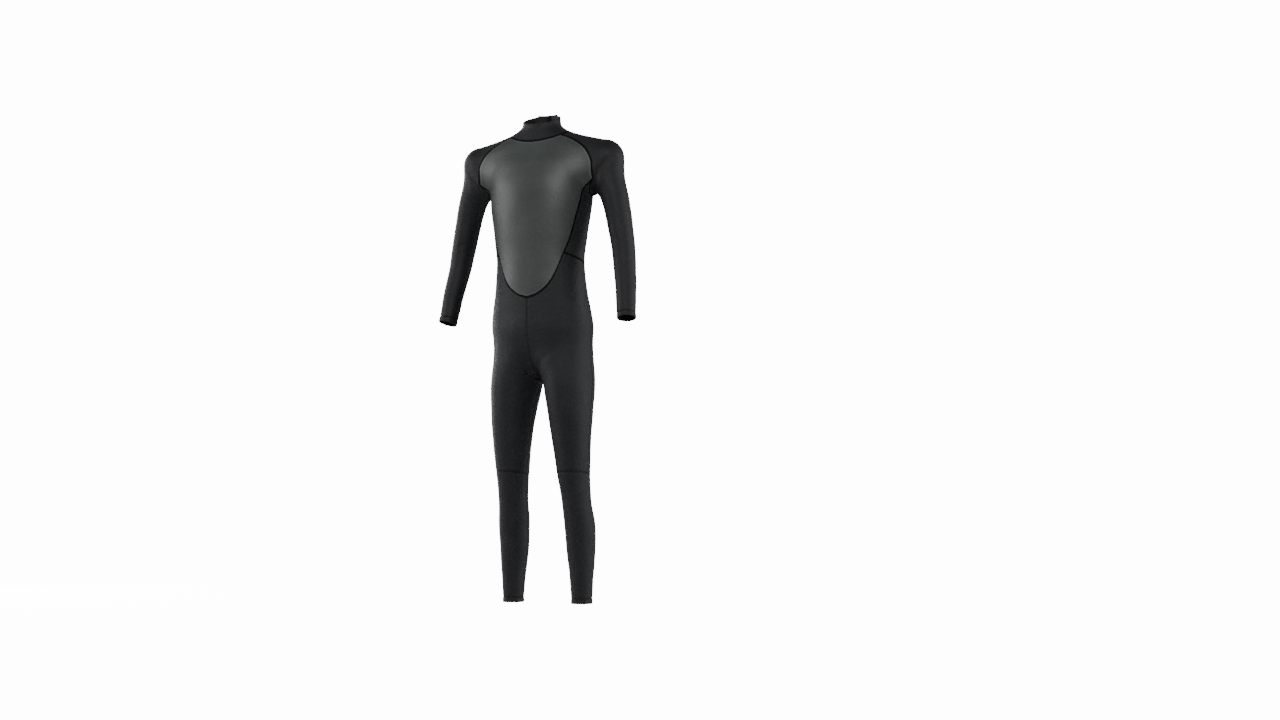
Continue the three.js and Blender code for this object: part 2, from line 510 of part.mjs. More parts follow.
// long solid with a rectangular section that follows the arc
const strip = (zs, x0, x1, low, high) => {
  const face = (out) => zs.map((z, i) => [onTrack(x0(i), z, out), onTrack(x1(i), z, out)]);
  return shell(face(high), face(low));
};
const CHAIN_TOP = -0.6, CHAIN_LOW = CHAIN_TOP - CHAIN_T, HALF = CHAIN_W / 2;
const tapeZ = steps(ZIP_BOTTOM, ZIP_TOP, 22);
const chainZ = [];
for (let i = 0; i < TEETH; i++) {
  for (const t of [0, 0.18, 0.5, 0.68]) chainZ.push(lerp(ZIP_BOTTOM + 9, ZIP_TOP - 7, (i + t) / TEETH));
}
chainZ.push(ZIP_TOP - 7);
const zigzag = (i) => ([0, 1].includes((i + 3) % 4) ? 0.7 : -0.7);
for (const [tag, side] of [['l', 1], ['r', -1]]) {
  const ordered = (near, far) => (side > 0 ? [near, far] : [(i) => -far(i), (i) => -near(i)]);
  const tapeEdge = ZIP_SLOT / 2 - SEAM_GAP / 2 - 0.3;
  const tape = ordered(() => HALF + 0.4, () => tapeEdge);
  add(`zip_tape_${tag}`, strip(tapeZ, ...tape, -TAPE_SINK - TAPE_T, -TAPE_SINK), COLOUR.zip, 0.9);
  const comb = (i) => 0.18 + side * zigzag(i);
  add(`zip_teeth_${tag}`, strip(chainZ, ...ordered(comb, () => HALF), CHAIN_LOW, CHAIN_TOP), COLOUR.zip, 0.45);
  const stop = ordered(() => 0.3, () => HALF);
  add(`top_stop_${tag}`, strip([ZIP_TOP - 6.4, ZIP_TOP - 1], ...stop, CHAIN_LOW, CHAIN_TOP + 0.5),
    COLOUR.slider, 0.35);
}
add('bottom_stop', strip([ZIP_BOTTOM, ZIP_BOTTOM + 8.6], () => -HALF, () => HALF, CHAIN_LOW, CHAIN_TOP + 0.5),
  COLOUR.slider, 0.35);

// neoprene behind the zip, and the patch that closes the slot below it
const backing = steps(ZIP_BOTTOM + 6, ZIP_TOP - 40, 14).map((z) => steps(BACKING_W / 2, -BACKING_W / 2, 6)
  .map((x) => cast(V(x, 16, z), V(0, 1, 0))));
const backingLift = Math.min(CHAIN_LOW - 0.8, -FABRIC - BACKING_SINK);
add('zip_backing', panel(backing, { lift: backingLift, thickness: BACKING_T }), COLOUR.lining, 0.85);
const tongueHalf = ZIP_SLOT / 2 - SEAM_GAP / 2;
const tongue = steps(WAIST_BACK_Z, ZIP_BOTTOM - 1, 3).map((z) => steps(tongueHalf, -tongueHalf, 2)
  .map((x) => cast(V(x, 16, z), V(0, 1, 0))));
add('zip_end_patch', panel(tongue), COLOUR.hem, 0.8);

// slider: a plate over the chain with lips at its sides and two lugs that hold the pull tab
const prism = (outline, length, holes = []) => {
  const shape = new THREE.Shape(outline.map(([x, y]) => new THREE.Vector2(x, y)));
  for (const hole of holes) shape.holes.push(new THREE.Path(hole.map(([x, y]) => new THREE.Vector2(x, y))));
  return new THREE.ExtrudeGeometry(shape, { depth: length, bevelEnabled: false }).translate(0, 0, -length / 2);
};
const carriage = new THREE.Group();
carriage.position.copy(onTrack(0, SLIDER_Z, 0));
carriage.rotation.x = angle(SLIDER_Z);
group.add(carriage);
const [SW, ST, SL] = SLIDER, lug = HALF - 0.1;
const plateLow = CHAIN_TOP + CLEAR, lip = -TAPE_SINK + CLEAR;
const half = [[HALF + 0.6, lip], [SW / 2, lip], [SW / 2, plateLow + ST * 0.7], [SW / 2 - 0.8, plateLow + ST],
  [lug + RAIL[0], plateLow + ST], [lug + RAIL[0], plateLow + ST + RAIL[1]], [lug, plateLow + ST + RAIL[1]],
  [lug, plateLow + ST]];
const profile = [[HALF + 0.6, plateLow], ...half, ...half.map(([x, y]) => [-x, y]).reverse(),
  [-HALF - 0.6, plateLow]];
add('zip_slider', prism(profile, SL), COLOUR.slider, 0.35, carriage);

// pull tab: a narrow neck between the lugs and a wider end with a slot for the strap
const [TW, TT, TL] = TAB, PIVOT_UP = 3, pivotOut = plateLow + ST + RAIL[1] / 2 + 0.4, neck = lug - CLEAR;
const tabOutline = [[-neck, 1.2], [neck, 1.2], [neck, -13], [TW / 2, -15], [TW / 2, 2 - TL], [TW / 2 - 2, -TL],
  [2 - TW / 2, -TL], [-TW / 2, 2 - TL], [-TW / 2, -15], [-neck, -13]];
const slot = [[-2.3, -TL + 3], [2.3, -TL + 3], [2.3, -TL + 5.5], [-2.3, -TL + 5.5]];
const tab = prism(tabOutline, TT, [slot]).rotateX(Math.PI / 2).translate(0, pivotOut, PIVOT_UP);
add('pull_tab', tab, COLOUR.slider, 0.4, carriage);

// flat pull strap hanging down the back from the tab to a pointed end
const strapTop = V(0, pivotOut, PIVOT_UP - TL - CLEAR).applyEuler(carriage.rotation).add(carriage.position);
let hang = -Infinity;
const strapRows = steps(strapTop.z, STRAP_END_Z, 26).map((z, i) => {
  const t = i / 26, x = -20 * ramp(t, 0.1, 1.1), reach = STRAP_W / 2 * (i === 26 ? 0.15 : 1);
  const lying = cast(V(x, 16, z), V(0, 1, 0)).y + lerp(pivotOut, 2.2, ramp(t, 0, 0.25));
  hang = i === 0 ? strapTop.y : Math.max(hang, lying);
  return { x, z, y: hang, reach };
});
const strapFace = (out) => strapRows.map(({ x, y, z, reach }) => [V(x + reach, y + out, z),
  V(x - reach, y + out, z)]);
add('pull_strap', shell(strapFace(STRAP_T / 2), strapFace(-STRAP_T / 2)), COLOUR.strap, 0.85);

group.position.z = -SHOULDER_Z;
export default group;
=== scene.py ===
# %% [markdown]
# # A full wetsuit
# The suit is made of foamed rubber sheet, three millimetres thick, faced with knit. Its
# panels are cut flat and sewn edge to edge, and the worn body gives them their shape. So the
# lesson makes one smooth body surface first, draws the seams on it, and then lays every
# panel, seam, hem and zip on that surface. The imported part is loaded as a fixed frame.

# %% Load the frame
import math

import bpy
import numpy as np
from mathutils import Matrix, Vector


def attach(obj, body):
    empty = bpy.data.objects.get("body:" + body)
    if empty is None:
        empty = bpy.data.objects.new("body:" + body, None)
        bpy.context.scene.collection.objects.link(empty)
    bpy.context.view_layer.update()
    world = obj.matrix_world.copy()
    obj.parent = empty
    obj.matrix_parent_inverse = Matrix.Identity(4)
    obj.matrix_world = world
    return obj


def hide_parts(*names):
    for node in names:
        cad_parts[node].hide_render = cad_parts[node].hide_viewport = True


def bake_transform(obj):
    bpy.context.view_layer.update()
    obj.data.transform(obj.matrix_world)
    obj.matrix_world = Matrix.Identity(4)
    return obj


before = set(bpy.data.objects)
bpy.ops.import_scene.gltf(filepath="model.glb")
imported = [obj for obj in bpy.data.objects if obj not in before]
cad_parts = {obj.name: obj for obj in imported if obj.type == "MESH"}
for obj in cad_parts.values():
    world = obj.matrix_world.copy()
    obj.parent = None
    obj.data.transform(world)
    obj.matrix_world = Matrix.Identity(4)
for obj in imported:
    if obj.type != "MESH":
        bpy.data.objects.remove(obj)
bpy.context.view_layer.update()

# %% [markdown]
# ## Camera, floor and light
# The suit hangs filled out at eye level, so the camera stands low and a little to the wearer's
# left, with a long lens that keeps the proportions flat. A key lamp stands high at the wearer's
# right and a weak fill lamp in front. Two tall lamps behind light the edges, because black cloth
# shows its form there. Floor and backdrop look white to the eye but hardly light the suit.
# %% Camera
AIM = Vector((0.0, 0.0, -0.632))
AZIMUTH, ELEVATION, DISTANCE = math.radians(25), math.radians(-3), 6.5
away = Vector((math.sin(AZIMUTH) * math.cos(ELEVATION),
               -math.cos(AZIMUTH) * math.cos(ELEVATION), math.sin(ELEVATION)))
camera_data = bpy.data.cameras.new("camera")
camera_data.lens = 60.94
camera_data.sensor_width = 36.0
camera_data.shift_x = 0.077
camera_data.shift_y = -0.0033
camera = bpy.data.objects.new("camera", camera_data)
camera.location = AIM + away * DISTANCE
camera.rotation_euler = away.to_track_quat("Z", "Y").to_euler()
bpy.context.scene.collection.objects.link(camera)
bpy.context.scene.camera = camera
print("camera at", [round(v, 3) for v in camera.location])

# %% Floor, sky and lamps
FLOOR_Z, FLOOR_HALF = -1.50, 30.0


def plain_surface(name, colour, roughness):
    """A material of one colour for the floor."""
    material = bpy.data.materials.new(name)
    material.use_nodes = True
    shader = material.node_tree.nodes["Principled BSDF"]
    shader.inputs["Base Color"].default_value = (*colour, 1)
    shader.inputs["Roughness"].default_value = roughness
    return material


floor_mesh = bpy.data.meshes.new("floor")
corners = [(x * FLOOR_HALF, y * FLOOR_HALF, FLOOR_Z) for x, y in ((-1, -1), (1, -1), (1, 1), (-1, 1))]
floor_mesh.from_pydata(corners, [], [(0, 1, 2, 3)])
floor = bpy.data.objects.new("floor", floor_mesh)
pale_floor = plain_surface("pale_floor", (0.92, 0.92, 0.92), 0.8)
floor_mesh.materials.append(pale_floor)
bpy.context.scene.collection.objects.link(floor)

world = bpy.data.worlds.new("studio")
bpy.context.scene.world = world
world.use_nodes = True
backdrop = world.node_tree.nodes["Background"]
backdrop.inputs["Color"].default_value = (1, 1, 1, 1)


def seen_and_shining(tree, socket, seen, shining):
    """A strength of 'seen' straight to the eye, and of 'shining' where it lights other things."""
    path = tree.nodes.new("ShaderNodeLightPath")
    blend = tree.nodes.new("ShaderNodeMapRange")
    blend.inputs["To Min"].default_value = shining
    blend.inputs["To Max"].default_value = seen
    tree.links.new(path.outputs["Is Camera Ray"], blend.inputs["Value"])
    tree.links.new(blend.outputs["Result"], socket)


seen_and_shining(world.node_tree, backdrop.inputs["Strength"], 14.0, 0.10)
glow = pale_floor.node_tree.nodes["Principled BSDF"].inputs
glow["Emission Color"].default_value = (1, 1, 1, 1)
seen_and_shining(pale_floor.node_tree, glow["Emission Strength"], 13.6, 0.0)


def softbox(name, place, size, watts, target=AIM, spread=180):
    """A rectangular lamp that faces a point of the suit, narrowed by a grid to a spread in degrees."""
    data = bpy.data.lights.new(name, "AREA")
    data.shape = "RECTANGLE"
    data.size, data.size_y = size
    data.energy = watts
    data.spread = math.radians(spread)
    lamp = bpy.data.objects.new(name, data)
    lamp.location = place
    lamp.rotation_euler = (Vector(place) - Vector(target)).to_track_quat("Z", "Y").to_euler()
    bpy.context.scene.collection.objects.link(lamp)
    return lamp


CHEST = (0.0, 0.0, -0.3)
softbox("key_lamp", (-4.3, -2.0, 0.7), (2.2, 2.6), 21, CHEST, 55)
softbox("rim_lamp_left", (-3.4, 1.8, 0.2), (1.0, 3.0), 70)
softbox("rim_lamp_right", (3.7, 1.9, 0.2), (1.0, 3.0), 100)
softbox("fill_lamp", (2.6, -5.0, 2.2), (3.0, 2.0), 27, (0.0, 0.0, -0.1), 50)
print("stage ready")

# %% [markdown]
# ## The worn body as a formula
# A body could be sculpted by hand, but a suit has seams that must meet exactly, so every
# panel needs the same surface underneath. A formula gives that: stacks of oval sections for
# trunk, arms, legs and neck, melted together with a smooth minimum. It is negative inside
# the body and zero on the outside of the suit. Lengths here are millimetres above the ankles.

# %% Sections and blends
SHOULDER_Z = 1372.0
FABRIC = 3.0
ZIP_SLOT = 22.0
TRACK_R, TRACK_Y, TRACK_Z = 1000.0, -884.0, 1172.0
# height, centre across, centre front to back, half width, half depth
TRUNK = np.array([
    [660, 0, 13, 140, 104], [760, 0, 13, 150, 112], [820, 0, 10, 157, 115], [870, 0, 5, 153, 109],
    [940, 0, -2, 142, 102], [1020, 0, -5, 136, 100], [1100, 0, -4, 144, 108], [1180, 0, 0, 155, 117],
    [1250, 0, 5, 162, 118], [1310, 0, 10, 168, 106], [1350, 0, 13, 158, 90], [1385, 0, 14, 126, 74],
    [1412, 0, 13, 80, 60], [1436, 0, 11, 40, 40], [1456, 0, 10, 4, 4]], float)
ARM = np.array([
    [825, 296, -46, 26.5, 30], [930, 284, -22, 30.5, 36], [1025, 270, 0, 33.5, 41], [1120, 255, 7, 37, 46],
    [1200, 238, 10, 40, 51], [1260, 222, 11, 46, 55], [1330, 202, 12, 53, 55]], float)
LEG = np.array([
    [0, 113, 42, 30, 36], [70, 112, 43, 34, 42], [160, 110, 44, 41.5, 53], [240, 108, 38, 44.5, 57],
    [310, 104, 24, 42.5, 55], [400, 100, 10, 48.5, 62], [500, 97, 3, 57.5, 73], [590, 92, 5, 67, 88],
    [640, 88, 10, 71.5, 98], [690, 84, 14, 74.5, 104], [740, 81, 15, 76.5, 106],
    [800, 79, 12, 77, 104]], float)
NECK = np.array([
    [1372, 0, 14, 66, 62], [1400, 0, 11, 62, 61], [1430, 0, 6, 58.5, 59], [1500, 0, -4, 56, 57]], float)


def ramp(x, a, b):
    """Runs smoothly from 0 at a to 1 at b: 6t^5 - 15t^4 + 10t^3."""
    t = np.clip((x - a) / (b - a), 0, 1)
    return t ** 3 * (t * (6 * t - 15) + 10)


def mix(a, b, t):
    """Straight line from a to b."""
    return a + (b - a) * t


def melt(a, b, k):
    """Smooth minimum of two fields, rounded over the width k."""
    h = np.clip(0.5 + 0.5 * (b - a) / k, 0, 1)
    return b + (a - b) * h - k * h * (1 - h)


def section(table, column, z):
    """One column of a table of sections at height z.

    Cubic Hermite curves, whose slopes are the chords of the neighbours.
    """
    heights, values, last = table[:, 0], table[:, column], len(table) - 1
    low, high = np.maximum(np.arange(last + 1) - 1, 0), np.minimum(np.arange(last + 1) + 1, last)
    slope = (values[high] - values[low]) / (heights[high] - heights[low])
    x = np.clip(z, heights[0], heights[-1])
    i = np.clip(np.searchsorted(heights, x) - 1, 0, last - 1)
    h = heights[i + 1] - heights[i]
    t = (x - heights[i]) / h
    return ((2 * t ** 3 - 3 * t * t + 1) * values[i] + (t ** 3 - 2 * t * t + t) * h * slope[i]
            + (3 * t * t - 2 * t ** 3) * values[i + 1] + (t ** 3 - t * t) * h * slope[i + 1])


def stack(table, x, y, z, power, scale):
    """Superellipse |u|^n + |v|^n = 1 at each height, as a field that grows with the distance."""
    u = np.abs((x - section(table, 1, z)) / section(table, 3, z))
    v = np.abs((y - section(table, 2, z)) / section(table, 4, z))
    return ((u ** power + v ** power) ** (1 / power) - 1) * scale


def shoulder(x, y, z):
    """A capsule from the neck to the top of the arm, its lower half stretched down."""
    t = np.clip((x - 70) / 135, 0, 1)
    dz = z - mix(1369, 1326, t)
    return np.sqrt((x - mix(70, 205, t)) ** 2 + (y - mix(14, 12, t)) ** 2
                   + np.where(dz < 0, dz * 0.12, dz) ** 2) - mix(42, 56.5, t)


def track_y(z):
    """The arc that the zip follows down the back."""
    return TRACK_Y + np.sqrt(TRACK_R ** 2 - (z - TRACK_Z) ** 2)


def body(p):
    """The worn body: negative inside, zero on the outside of the suit."""
    x, y0, z = p[..., 0], p[..., 1], p[..., 2]
    shift = track_y(np.clip(z, 956, 1420)) - (section(TRUNK, 2, z) + section(TRUNK, 4, z))
    y = y0 - shift * np.exp(-((x / 55) ** 4)) * ramp(y0, 15, 75) * ramp(z, 872, 952) * ramp(-z, -1440, -1392)
    legs = melt(stack(LEG, x, y, z, 2, 70), stack(LEG, -x, y, z, 2, 70), 48)
    high = ramp(z, 1190, 1345)
    arms = [mix(stack(ARM, s, y, z, 2, 50), shoulder(s, y, z), high) for s in (x, -x)]
    f = mix(legs, stack(TRUNK, x, y, z, 2.2, 105), ramp(z, 640, 840))
    f = melt(f, melt(arms[0], arms[1], 30), 50)
    return melt(f, stack(NECK, x, y, z, 2, 60) + 300 * (1 - ramp(z, 1240, 1340)), 30)


print("chest half width", round(float(section(TRUNK, 3, 1250.0)), 1), "mm")

# %% [markdown]
# ## Reaching the surface
# Two tools place points on the body: a ray that stops at the first crossing, found by
# halving, and Newton steps along the gradient for points that are already close.

# %% Rays and Newton steps
def unit(v):
    """Vectors of length one."""
    return v / np.maximum(np.linalg.norm(v, axis=-1, keepdims=True), 1e-12)


def vec(x, y, z):
    """Arrays of points from arrays or numbers for each coordinate."""
    return np.stack(np.broadcast_arrays(np.asarray(x, float), np.asarray(y, float), np.asarray(z, float)), -1)


def gradient(p):
    """Central differences of the field, half a millimetre each way."""
    steps = np.eye(3) * 0.5
    return np.stack([body(p + s) - body(p - s) for s in steps], -1)


def outward(p):
    """Unit normals of the body surface."""
    return unit(gradient(p))


def settle(p, rounds=7):
    """Newton steps along the gradient: p - g f / |g|^2."""
    for _ in range(rounds):
        g = gradient(p)
        s = body(p) / np.maximum((g * g).sum(-1), 0.05)
        p = p - g * np.clip(s, -12, 12)[..., None]
    return p


def cast(origin, way, reach=330.0):
    """First crossing of the surface along a direction: steps of 6 mm, then halving."""
    way = np.asarray(way, float)
    origin = np.broadcast_to(origin, np.broadcast_shapes(np.shape(origin), way.shape)).astype(float)
    way = np.broadcast_to(way, origin.shape)
    near, far = np.full(origin.shape[:-1], 2.0), np.full(origin.shape[:-1], 2.0)
    open_rays = np.ones(origin.shape[:-1], bool)
    for r in np.arange(8.0, reach + 6, 6.0):
        outside = body(origin + way * far[..., None]) >= 0
        open_rays &= ~outside
        if not open_rays.any():
            break
        near = np.where(open_rays, far, near)
        far = np.where(open_rays, r, far)
    for _ in range(18):
        middle = (near + far) / 2
        inside = body(origin + way * middle[..., None]) < 0
        near, far = np.where(inside, middle, near), np.where(inside, far, middle)
    return origin + way * ((near + far) / 2)[..., None]


def compass(deg):
    """Level direction, in degrees round from the front towards the wearer's left."""
    a = np.radians(deg)
    return vec(np.sin(a), -np.cos(a), 0)


print("chest front at", cast(vec(0, 8, 1200), compass(0)).round(1))

# %% [markdown]
# ## Seam lines
# Each seam is a smooth line through a few places given as an angle round the body and a
# height. Neighbouring panels are cut along the same line, with the same number of steps, so
# they meet everywhere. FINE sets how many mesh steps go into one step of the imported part.

# %% Lines on the body
FINE = 6
AXIS_Y = 8.0
SIDE_SEAM = 96.0
KNEE_FRONT_Z, KNEE_BACK_Z = 392.0, 380.0
WAIST_BACK_Z, WAIST_SIDE_Z, PANEL_TIP_Z = 896.0, 919.0, 908.0
ANKLE_HEM, WRIST_HEM = 16.0, 15.0


def around(deg, z):
    """Point of the surface at an angle and a height, seen from the middle of the trunk."""
    z = np.asarray(z, float) + 0 * np.asarray(deg, float)
    return cast(vec(0, AXIS_Y, z), compass(np.asarray(deg, float) + 0 * z))


def distance(points):
    """Distance along a polyline from its first point."""
    return np.concatenate([[0], np.cumsum(np.linalg.norm(np.diff(points, axis=0), axis=1))])


def closed_ring(points):
    """A ring of points with the first one repeated at the end."""
    return np.concatenate([points, points[:1]])


def even(points, steps):
    """Points evenly spaced along a polyline."""
    run = distance(points)
    at = np.linspace(0, run[-1], steps + 1)
    return np.stack([np.interp(at, run, points[:, k]) for k in range(3)], 1)


def smooth_line(points, steps):
    """Centripetal Catmull-Rom curve through the points, then evenly spaced."""
    p = np.concatenate([[2 * points[0] - points[1]], points, [2 * points[-1] - points[-2]]])
    d = np.sqrt(np.linalg.norm(np.diff(p, axis=0), axis=1))[:, None]
    slope = lambda a, b, c, d0, d1: (b - a) / d0 - (c - a) / (d0 + d1) + (c - b) / d1
    t1 = slope(p[:-3], p[1:-2], p[2:-1], d[:-2], d[1:-1]) * d[1:-1]
    t2 = slope(p[1:-2], p[2:-1], p[3:], d[1:-1], d[2:]) * d[1:-1]
    t = np.linspace(0, 1, 41)[:-1, None, None]
    a, b = p[1:-2], p[2:-1]
    curve = a + t1 * t + (3 * (b - a) - 2 * t1 - t2) * t ** 2 + (2 * (a - b) + t1 + t2) * t ** 3
    curve = np.concatenate([curve.transpose(1, 0, 2).reshape(-1, 3), points[-1:]])
    return even(curve, steps)


def seam(places, steps):
    """Line on the trunk through (degrees, height) places."""
    places = np.array(places, float)
    line = smooth_line(settle(around(places[:, 0], places[:, 1])), steps * FINE)
    line[1:-1] = settle(line[1:-1])
    return line


def join(*lines):
    """Lines end to end, sharing their end points."""
    return np.concatenate([line if i == 0 else line[1:] for i, line in enumerate(lines)])


def mirrored(line):
    """The same line on the wearer's right."""
    return line * np.array([-1.0, 1.0, 1.0])


def by_height(point, start, end, steps):
    """point(z) at evenly spaced heights."""
    return point(np.linspace(start, end, steps * FINE + 1))


print("front seam of the chest starts at", around(0.0, PANEL_TIP_Z).round(1))


# %% The legs and the crotch
def leg_x(z):
    """Middle of the leg across, moving to the middle of the trunk above."""
    return section(LEG, 1, z) * (1 - ramp(z, 600, 880))


def leg_y(z):
    """Middle of the leg front to back."""
    return mix(section(LEG, 2, z), AXIS_Y, ramp(z, 600, 880))


def leg_point(deg, z):
    """Point of the surface at an angle and a height, seen from the middle of the leg."""
    z = np.asarray(z, float) + 0 * np.asarray(deg, float)
    return cast(vec(leg_x(z), leg_y(z), z), compass(np.asarray(deg, float) + 0 * z))


low, high = 560.0, 760.0
for _ in range(30):
    middle = (low + high) / 2
    low, high = (middle, high) if body(vec(0, 16, middle)) > 0 else (low, middle)
CROTCH_Z = (low + high) / 2
crotch = vec(0, 16, CROTCH_Z)


def centre_line(top, side, steps):
    """Middle of the front (-1) or back (+1), from a height down and round under the body to the crotch."""
    base = min(top, CROTCH_Z + 70)
    upper = cast(vec(0, 16, np.linspace(top, base, 21)[:-1]), vec(0, side, 0))
    a = np.radians(np.linspace(0, 90, 41))
    lower = cast(vec(0, 16, base), vec(0, side * np.cos(a), -np.sin(a)))
    return smooth_line(np.concatenate([upper, lower]), steps * FINE)


def side_angle(z):
    """The side seam turns a little forward down the leg."""
    return mix(92, SIDE_SEAM, ramp(z, 380, 900))


def knee_line(end_deg, steps, sag):
    """Half of the knee seam, from the inseam round to the side seam."""
    t = np.linspace(0, 1, steps * FINE + 1)
    z = mix(KNEE_BACK_Z + 6, KNEE_FRONT_Z - 4, t) + sag * np.sin(np.pi * t)
    return leg_point(mix(-90, end_deg, t), z)


print("crotch at", round(CROTCH_Z, 1), "mm above the ankles")

# %% All the seams of the left half
# steps along each seam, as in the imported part
EDGE, DIP, SIDE, RAGLAN, FLANK, THIGH = 6, 3, 8, 5, 4, 18
FRONT, SEAT, TOP, ARM_STEPS, SHIN, NAPE, STAND = 11, 7, 12, 12, 9, 2, 3
NECKLINE = np.array([
    [0, 1380], [20, 1382], [42, 1389], [60, 1399], [85, 1414], [110, 1420], [137, 1418], [180, 1408]], float)


def on_back(x, z):
    """Point of the back at a distance across and a height."""
    return cast(vec(x, 16, z), vec(0, 1, 0))


def slot_point(z):
    """Edge of the zip slot."""
    return on_back(ZIP_SLOT / 2, z)


def neckline(start, end, steps):
    """The line where the collar is sewn on, between two angles."""
    deg = np.linspace(start, end, steps * FINE + 1)
    return settle(around(deg, section(NECKLINE, 1, deg)))


panel_edge = seam([[0, PANEL_TIP_Z], [16, 918], [31, 943], [42, 982], [52, 1041]], EDGE)
panel_side = seam([[52, 1041], [59.5, 1086], [66, 1152], [71.5, 1212], [75, 1262]], SIDE)
raglan_front = seam([[75, 1262], [73, 1318], [72, 1358], [68, 1386], [60, 1399]], RAGLAN)
raglan_low = seam([[75, 1262], [80, 1234], [88, 1216]], DIP)
raglan_back = seam([[88, 1216], [101, 1232], [112, 1268], [119, 1314], [126, 1362], [133, 1396], [137, 1415]],
                   RAGLAN + DIP)
side_dip = seam([[52, 1041], [68, 1030], [SIDE_SEAM, 1014]], DIP)
flank = by_height(lambda z: around(SIDE_SEAM - 8 * ramp(z, 1100, 1216), z), 1014, 1216, SIDE)
hip = by_height(lambda z: around(SIDE_SEAM + 0 * z, z), 1014, WAIST_SIDE_Z, FLANK)
thigh = by_height(lambda z: leg_point(side_angle(z), z), WAIST_SIDE_Z, KNEE_FRONT_Z - 4, THIGH)
front_line = centre_line(PANEL_TIP_Z, -1, FRONT)
seat_line = centre_line(WAIST_BACK_Z, 1, SEAT)
inseam = by_height(lambda z: leg_point(-90 + 0 * z, z), CROTCH_Z, KNEE_BACK_Z + 6, THIGH + FLANK - FRONT)
inseam[0] = crotch
KNEE_SIDE = side_angle(KNEE_FRONT_Z - 4)
knee_front = knee_line(KNEE_SIDE, EDGE + DIP, 8)
knee_back = knee_line(KNEE_SIDE - 360, 1 + NAPE + RAGLAN + DIP, -8)
t = np.linspace(0, 1, (NAPE + RAGLAN + DIP) * FINE + 1)
SLOT_ANGLE = 180 - math.degrees(math.atan2(ZIP_SLOT / 2, 98))
waist = around(mix(SLOT_ANGLE, SIDE_SEAM, t), mix(WAIST_BACK_Z, WAIST_SIDE_Z, ramp(t, 0, 1)))
waist[0] = slot_point(WAIST_BACK_Z)
waist_middle = on_back(np.linspace(0, ZIP_SLOT / 2, FINE + 1), WAIST_BACK_Z)
neck_front = neckline(0, 60, EDGE)
neck_front[-1] = raglan_front[-1]
neck_side = neckline(60, 137, TOP)
neck_side[0], neck_side[-1] = raglan_front[-1], raglan_back[-1]
neck_rear = neckline(137, 172, NAPE)
neck_rear[0], neck_rear[-1] = raglan_back[-1], slot_point(section(NECKLINE, 1, 172.0))
print("raglan seam", round(float(np.linalg.norm(np.diff(raglan_front, axis=0), axis=1).sum())), "mm in front")

# %% [markdown]
# ## Grids for the panels
# A panel is the patch between four seam lines. Its inner points are mixed from the border in
# angle, height and radius round an axis, and then settled on the body. The sleeve is a fan of
# sections round a bent spine instead, because it turns from the shoulder down into the arm.

# %% A patch between four seams
def patch(bottom, right, top, left, axis=lambda z: (0 * z, AXIS_Y + 0 * z)):
    """Coons patch of four lines in cylindrical coordinates, settled on the body."""
    def polar(line, near):
        ax, ay = axis(line[:, 2])
        a = np.unwrap(np.arctan2(line[:, 0] - ax, ay - line[:, 1]))
        a += 2 * np.pi * np.round((near - a[0]) / (2 * np.pi))
        return np.stack([a, line[:, 2], np.hypot(line[:, 0] - ax, line[:, 1] - ay)], 1)
    B = polar(bottom, 1.5 if bottom[0, 0] > 0.5 else 0.0)
    L = polar(left, B[0, 0])
    T, R = polar(top, L[-1, 0]), polar(right, B[-1, 0])
    v, u = np.meshgrid(np.linspace(0, 1, len(left)), np.linspace(0, 1, len(bottom)), indexing="ij")
    u, v = u[..., None], v[..., None]
    c = mix(L[:, None], R[:, None], u) + mix(B[None], T[None], v)
    c = c - mix(mix(B[0], B[-1], u), mix(T[0], T[-1], u), v)
    ax, ay = axis(c[..., 1])
    grid = vec(ax + np.sin(c[..., 0]) * c[..., 2], ay - np.cos(c[..., 0]) * c[..., 2], c[..., 1])
    grid[1:-1, 1:-1] = settle(grid[1:-1, 1:-1], 9)
    grid[0], grid[-1], grid[:, 0], grid[:, -1] = bottom, top, left, right
    return grid


leg_axis = lambda z: (leg_x(z), leg_y(z))
grids = {}
grids["chest"] = patch(join(mirrored(panel_edge)[::-1], panel_edge), join(panel_side, raglan_front),
                       join(mirrored(neck_front)[::-1], neck_front), mirrored(join(panel_side, raglan_front)))
grids["side"] = patch(side_dip, flank, raglan_low, panel_side)
grids["front_leg"] = patch(knee_front, join(hip, thigh)[::-1], join(panel_edge, side_dip),
                           join(front_line, inseam)[::-1], leg_axis)
grids["back_leg"] = patch(knee_back, thigh[::-1], join(waist_middle, waist),
                          join(seat_line, inseam)[::-1], leg_axis)
slot_edge = by_height(slot_point, WAIST_BACK_Z, section(NECKLINE, 1, 172.0), FLANK + SIDE)
grids["back"] = patch(waist, join(hip[::-1], flank), join(neck_rear[::-1], raglan_back[::-1]), slot_edge)
for name, grid in grids.items():
    print(name, grid.shape[:2], "residual", round(float(np.abs(body(grid[1:-1, 1:-1])).max()), 3))

# %% The lower leg and its hem
knee_ring = join(knee_front, knee_back[::-1])
ring_x, ring_y, ring_z = knee_ring.T
ring_angle = np.unwrap(np.arctan2(ring_x - leg_x(ring_z), leg_y(ring_z) - ring_y))
ring_angle = np.degrees(ring_angle) + (-90 - np.degrees(ring_angle[0]))
shin_angle = np.linspace(-90, 270, len(knee_ring))
t = np.linspace(0, 1, SHIN * FINE + 1)[:, None]
grids["shin"] = leg_point(mix(ring_angle, shin_angle, t), mix(knee_ring[:, 2], ANKLE_HEM, t))
grids["shin"][0] = knee_ring
print("lower leg", grids["shin"].shape[:2])

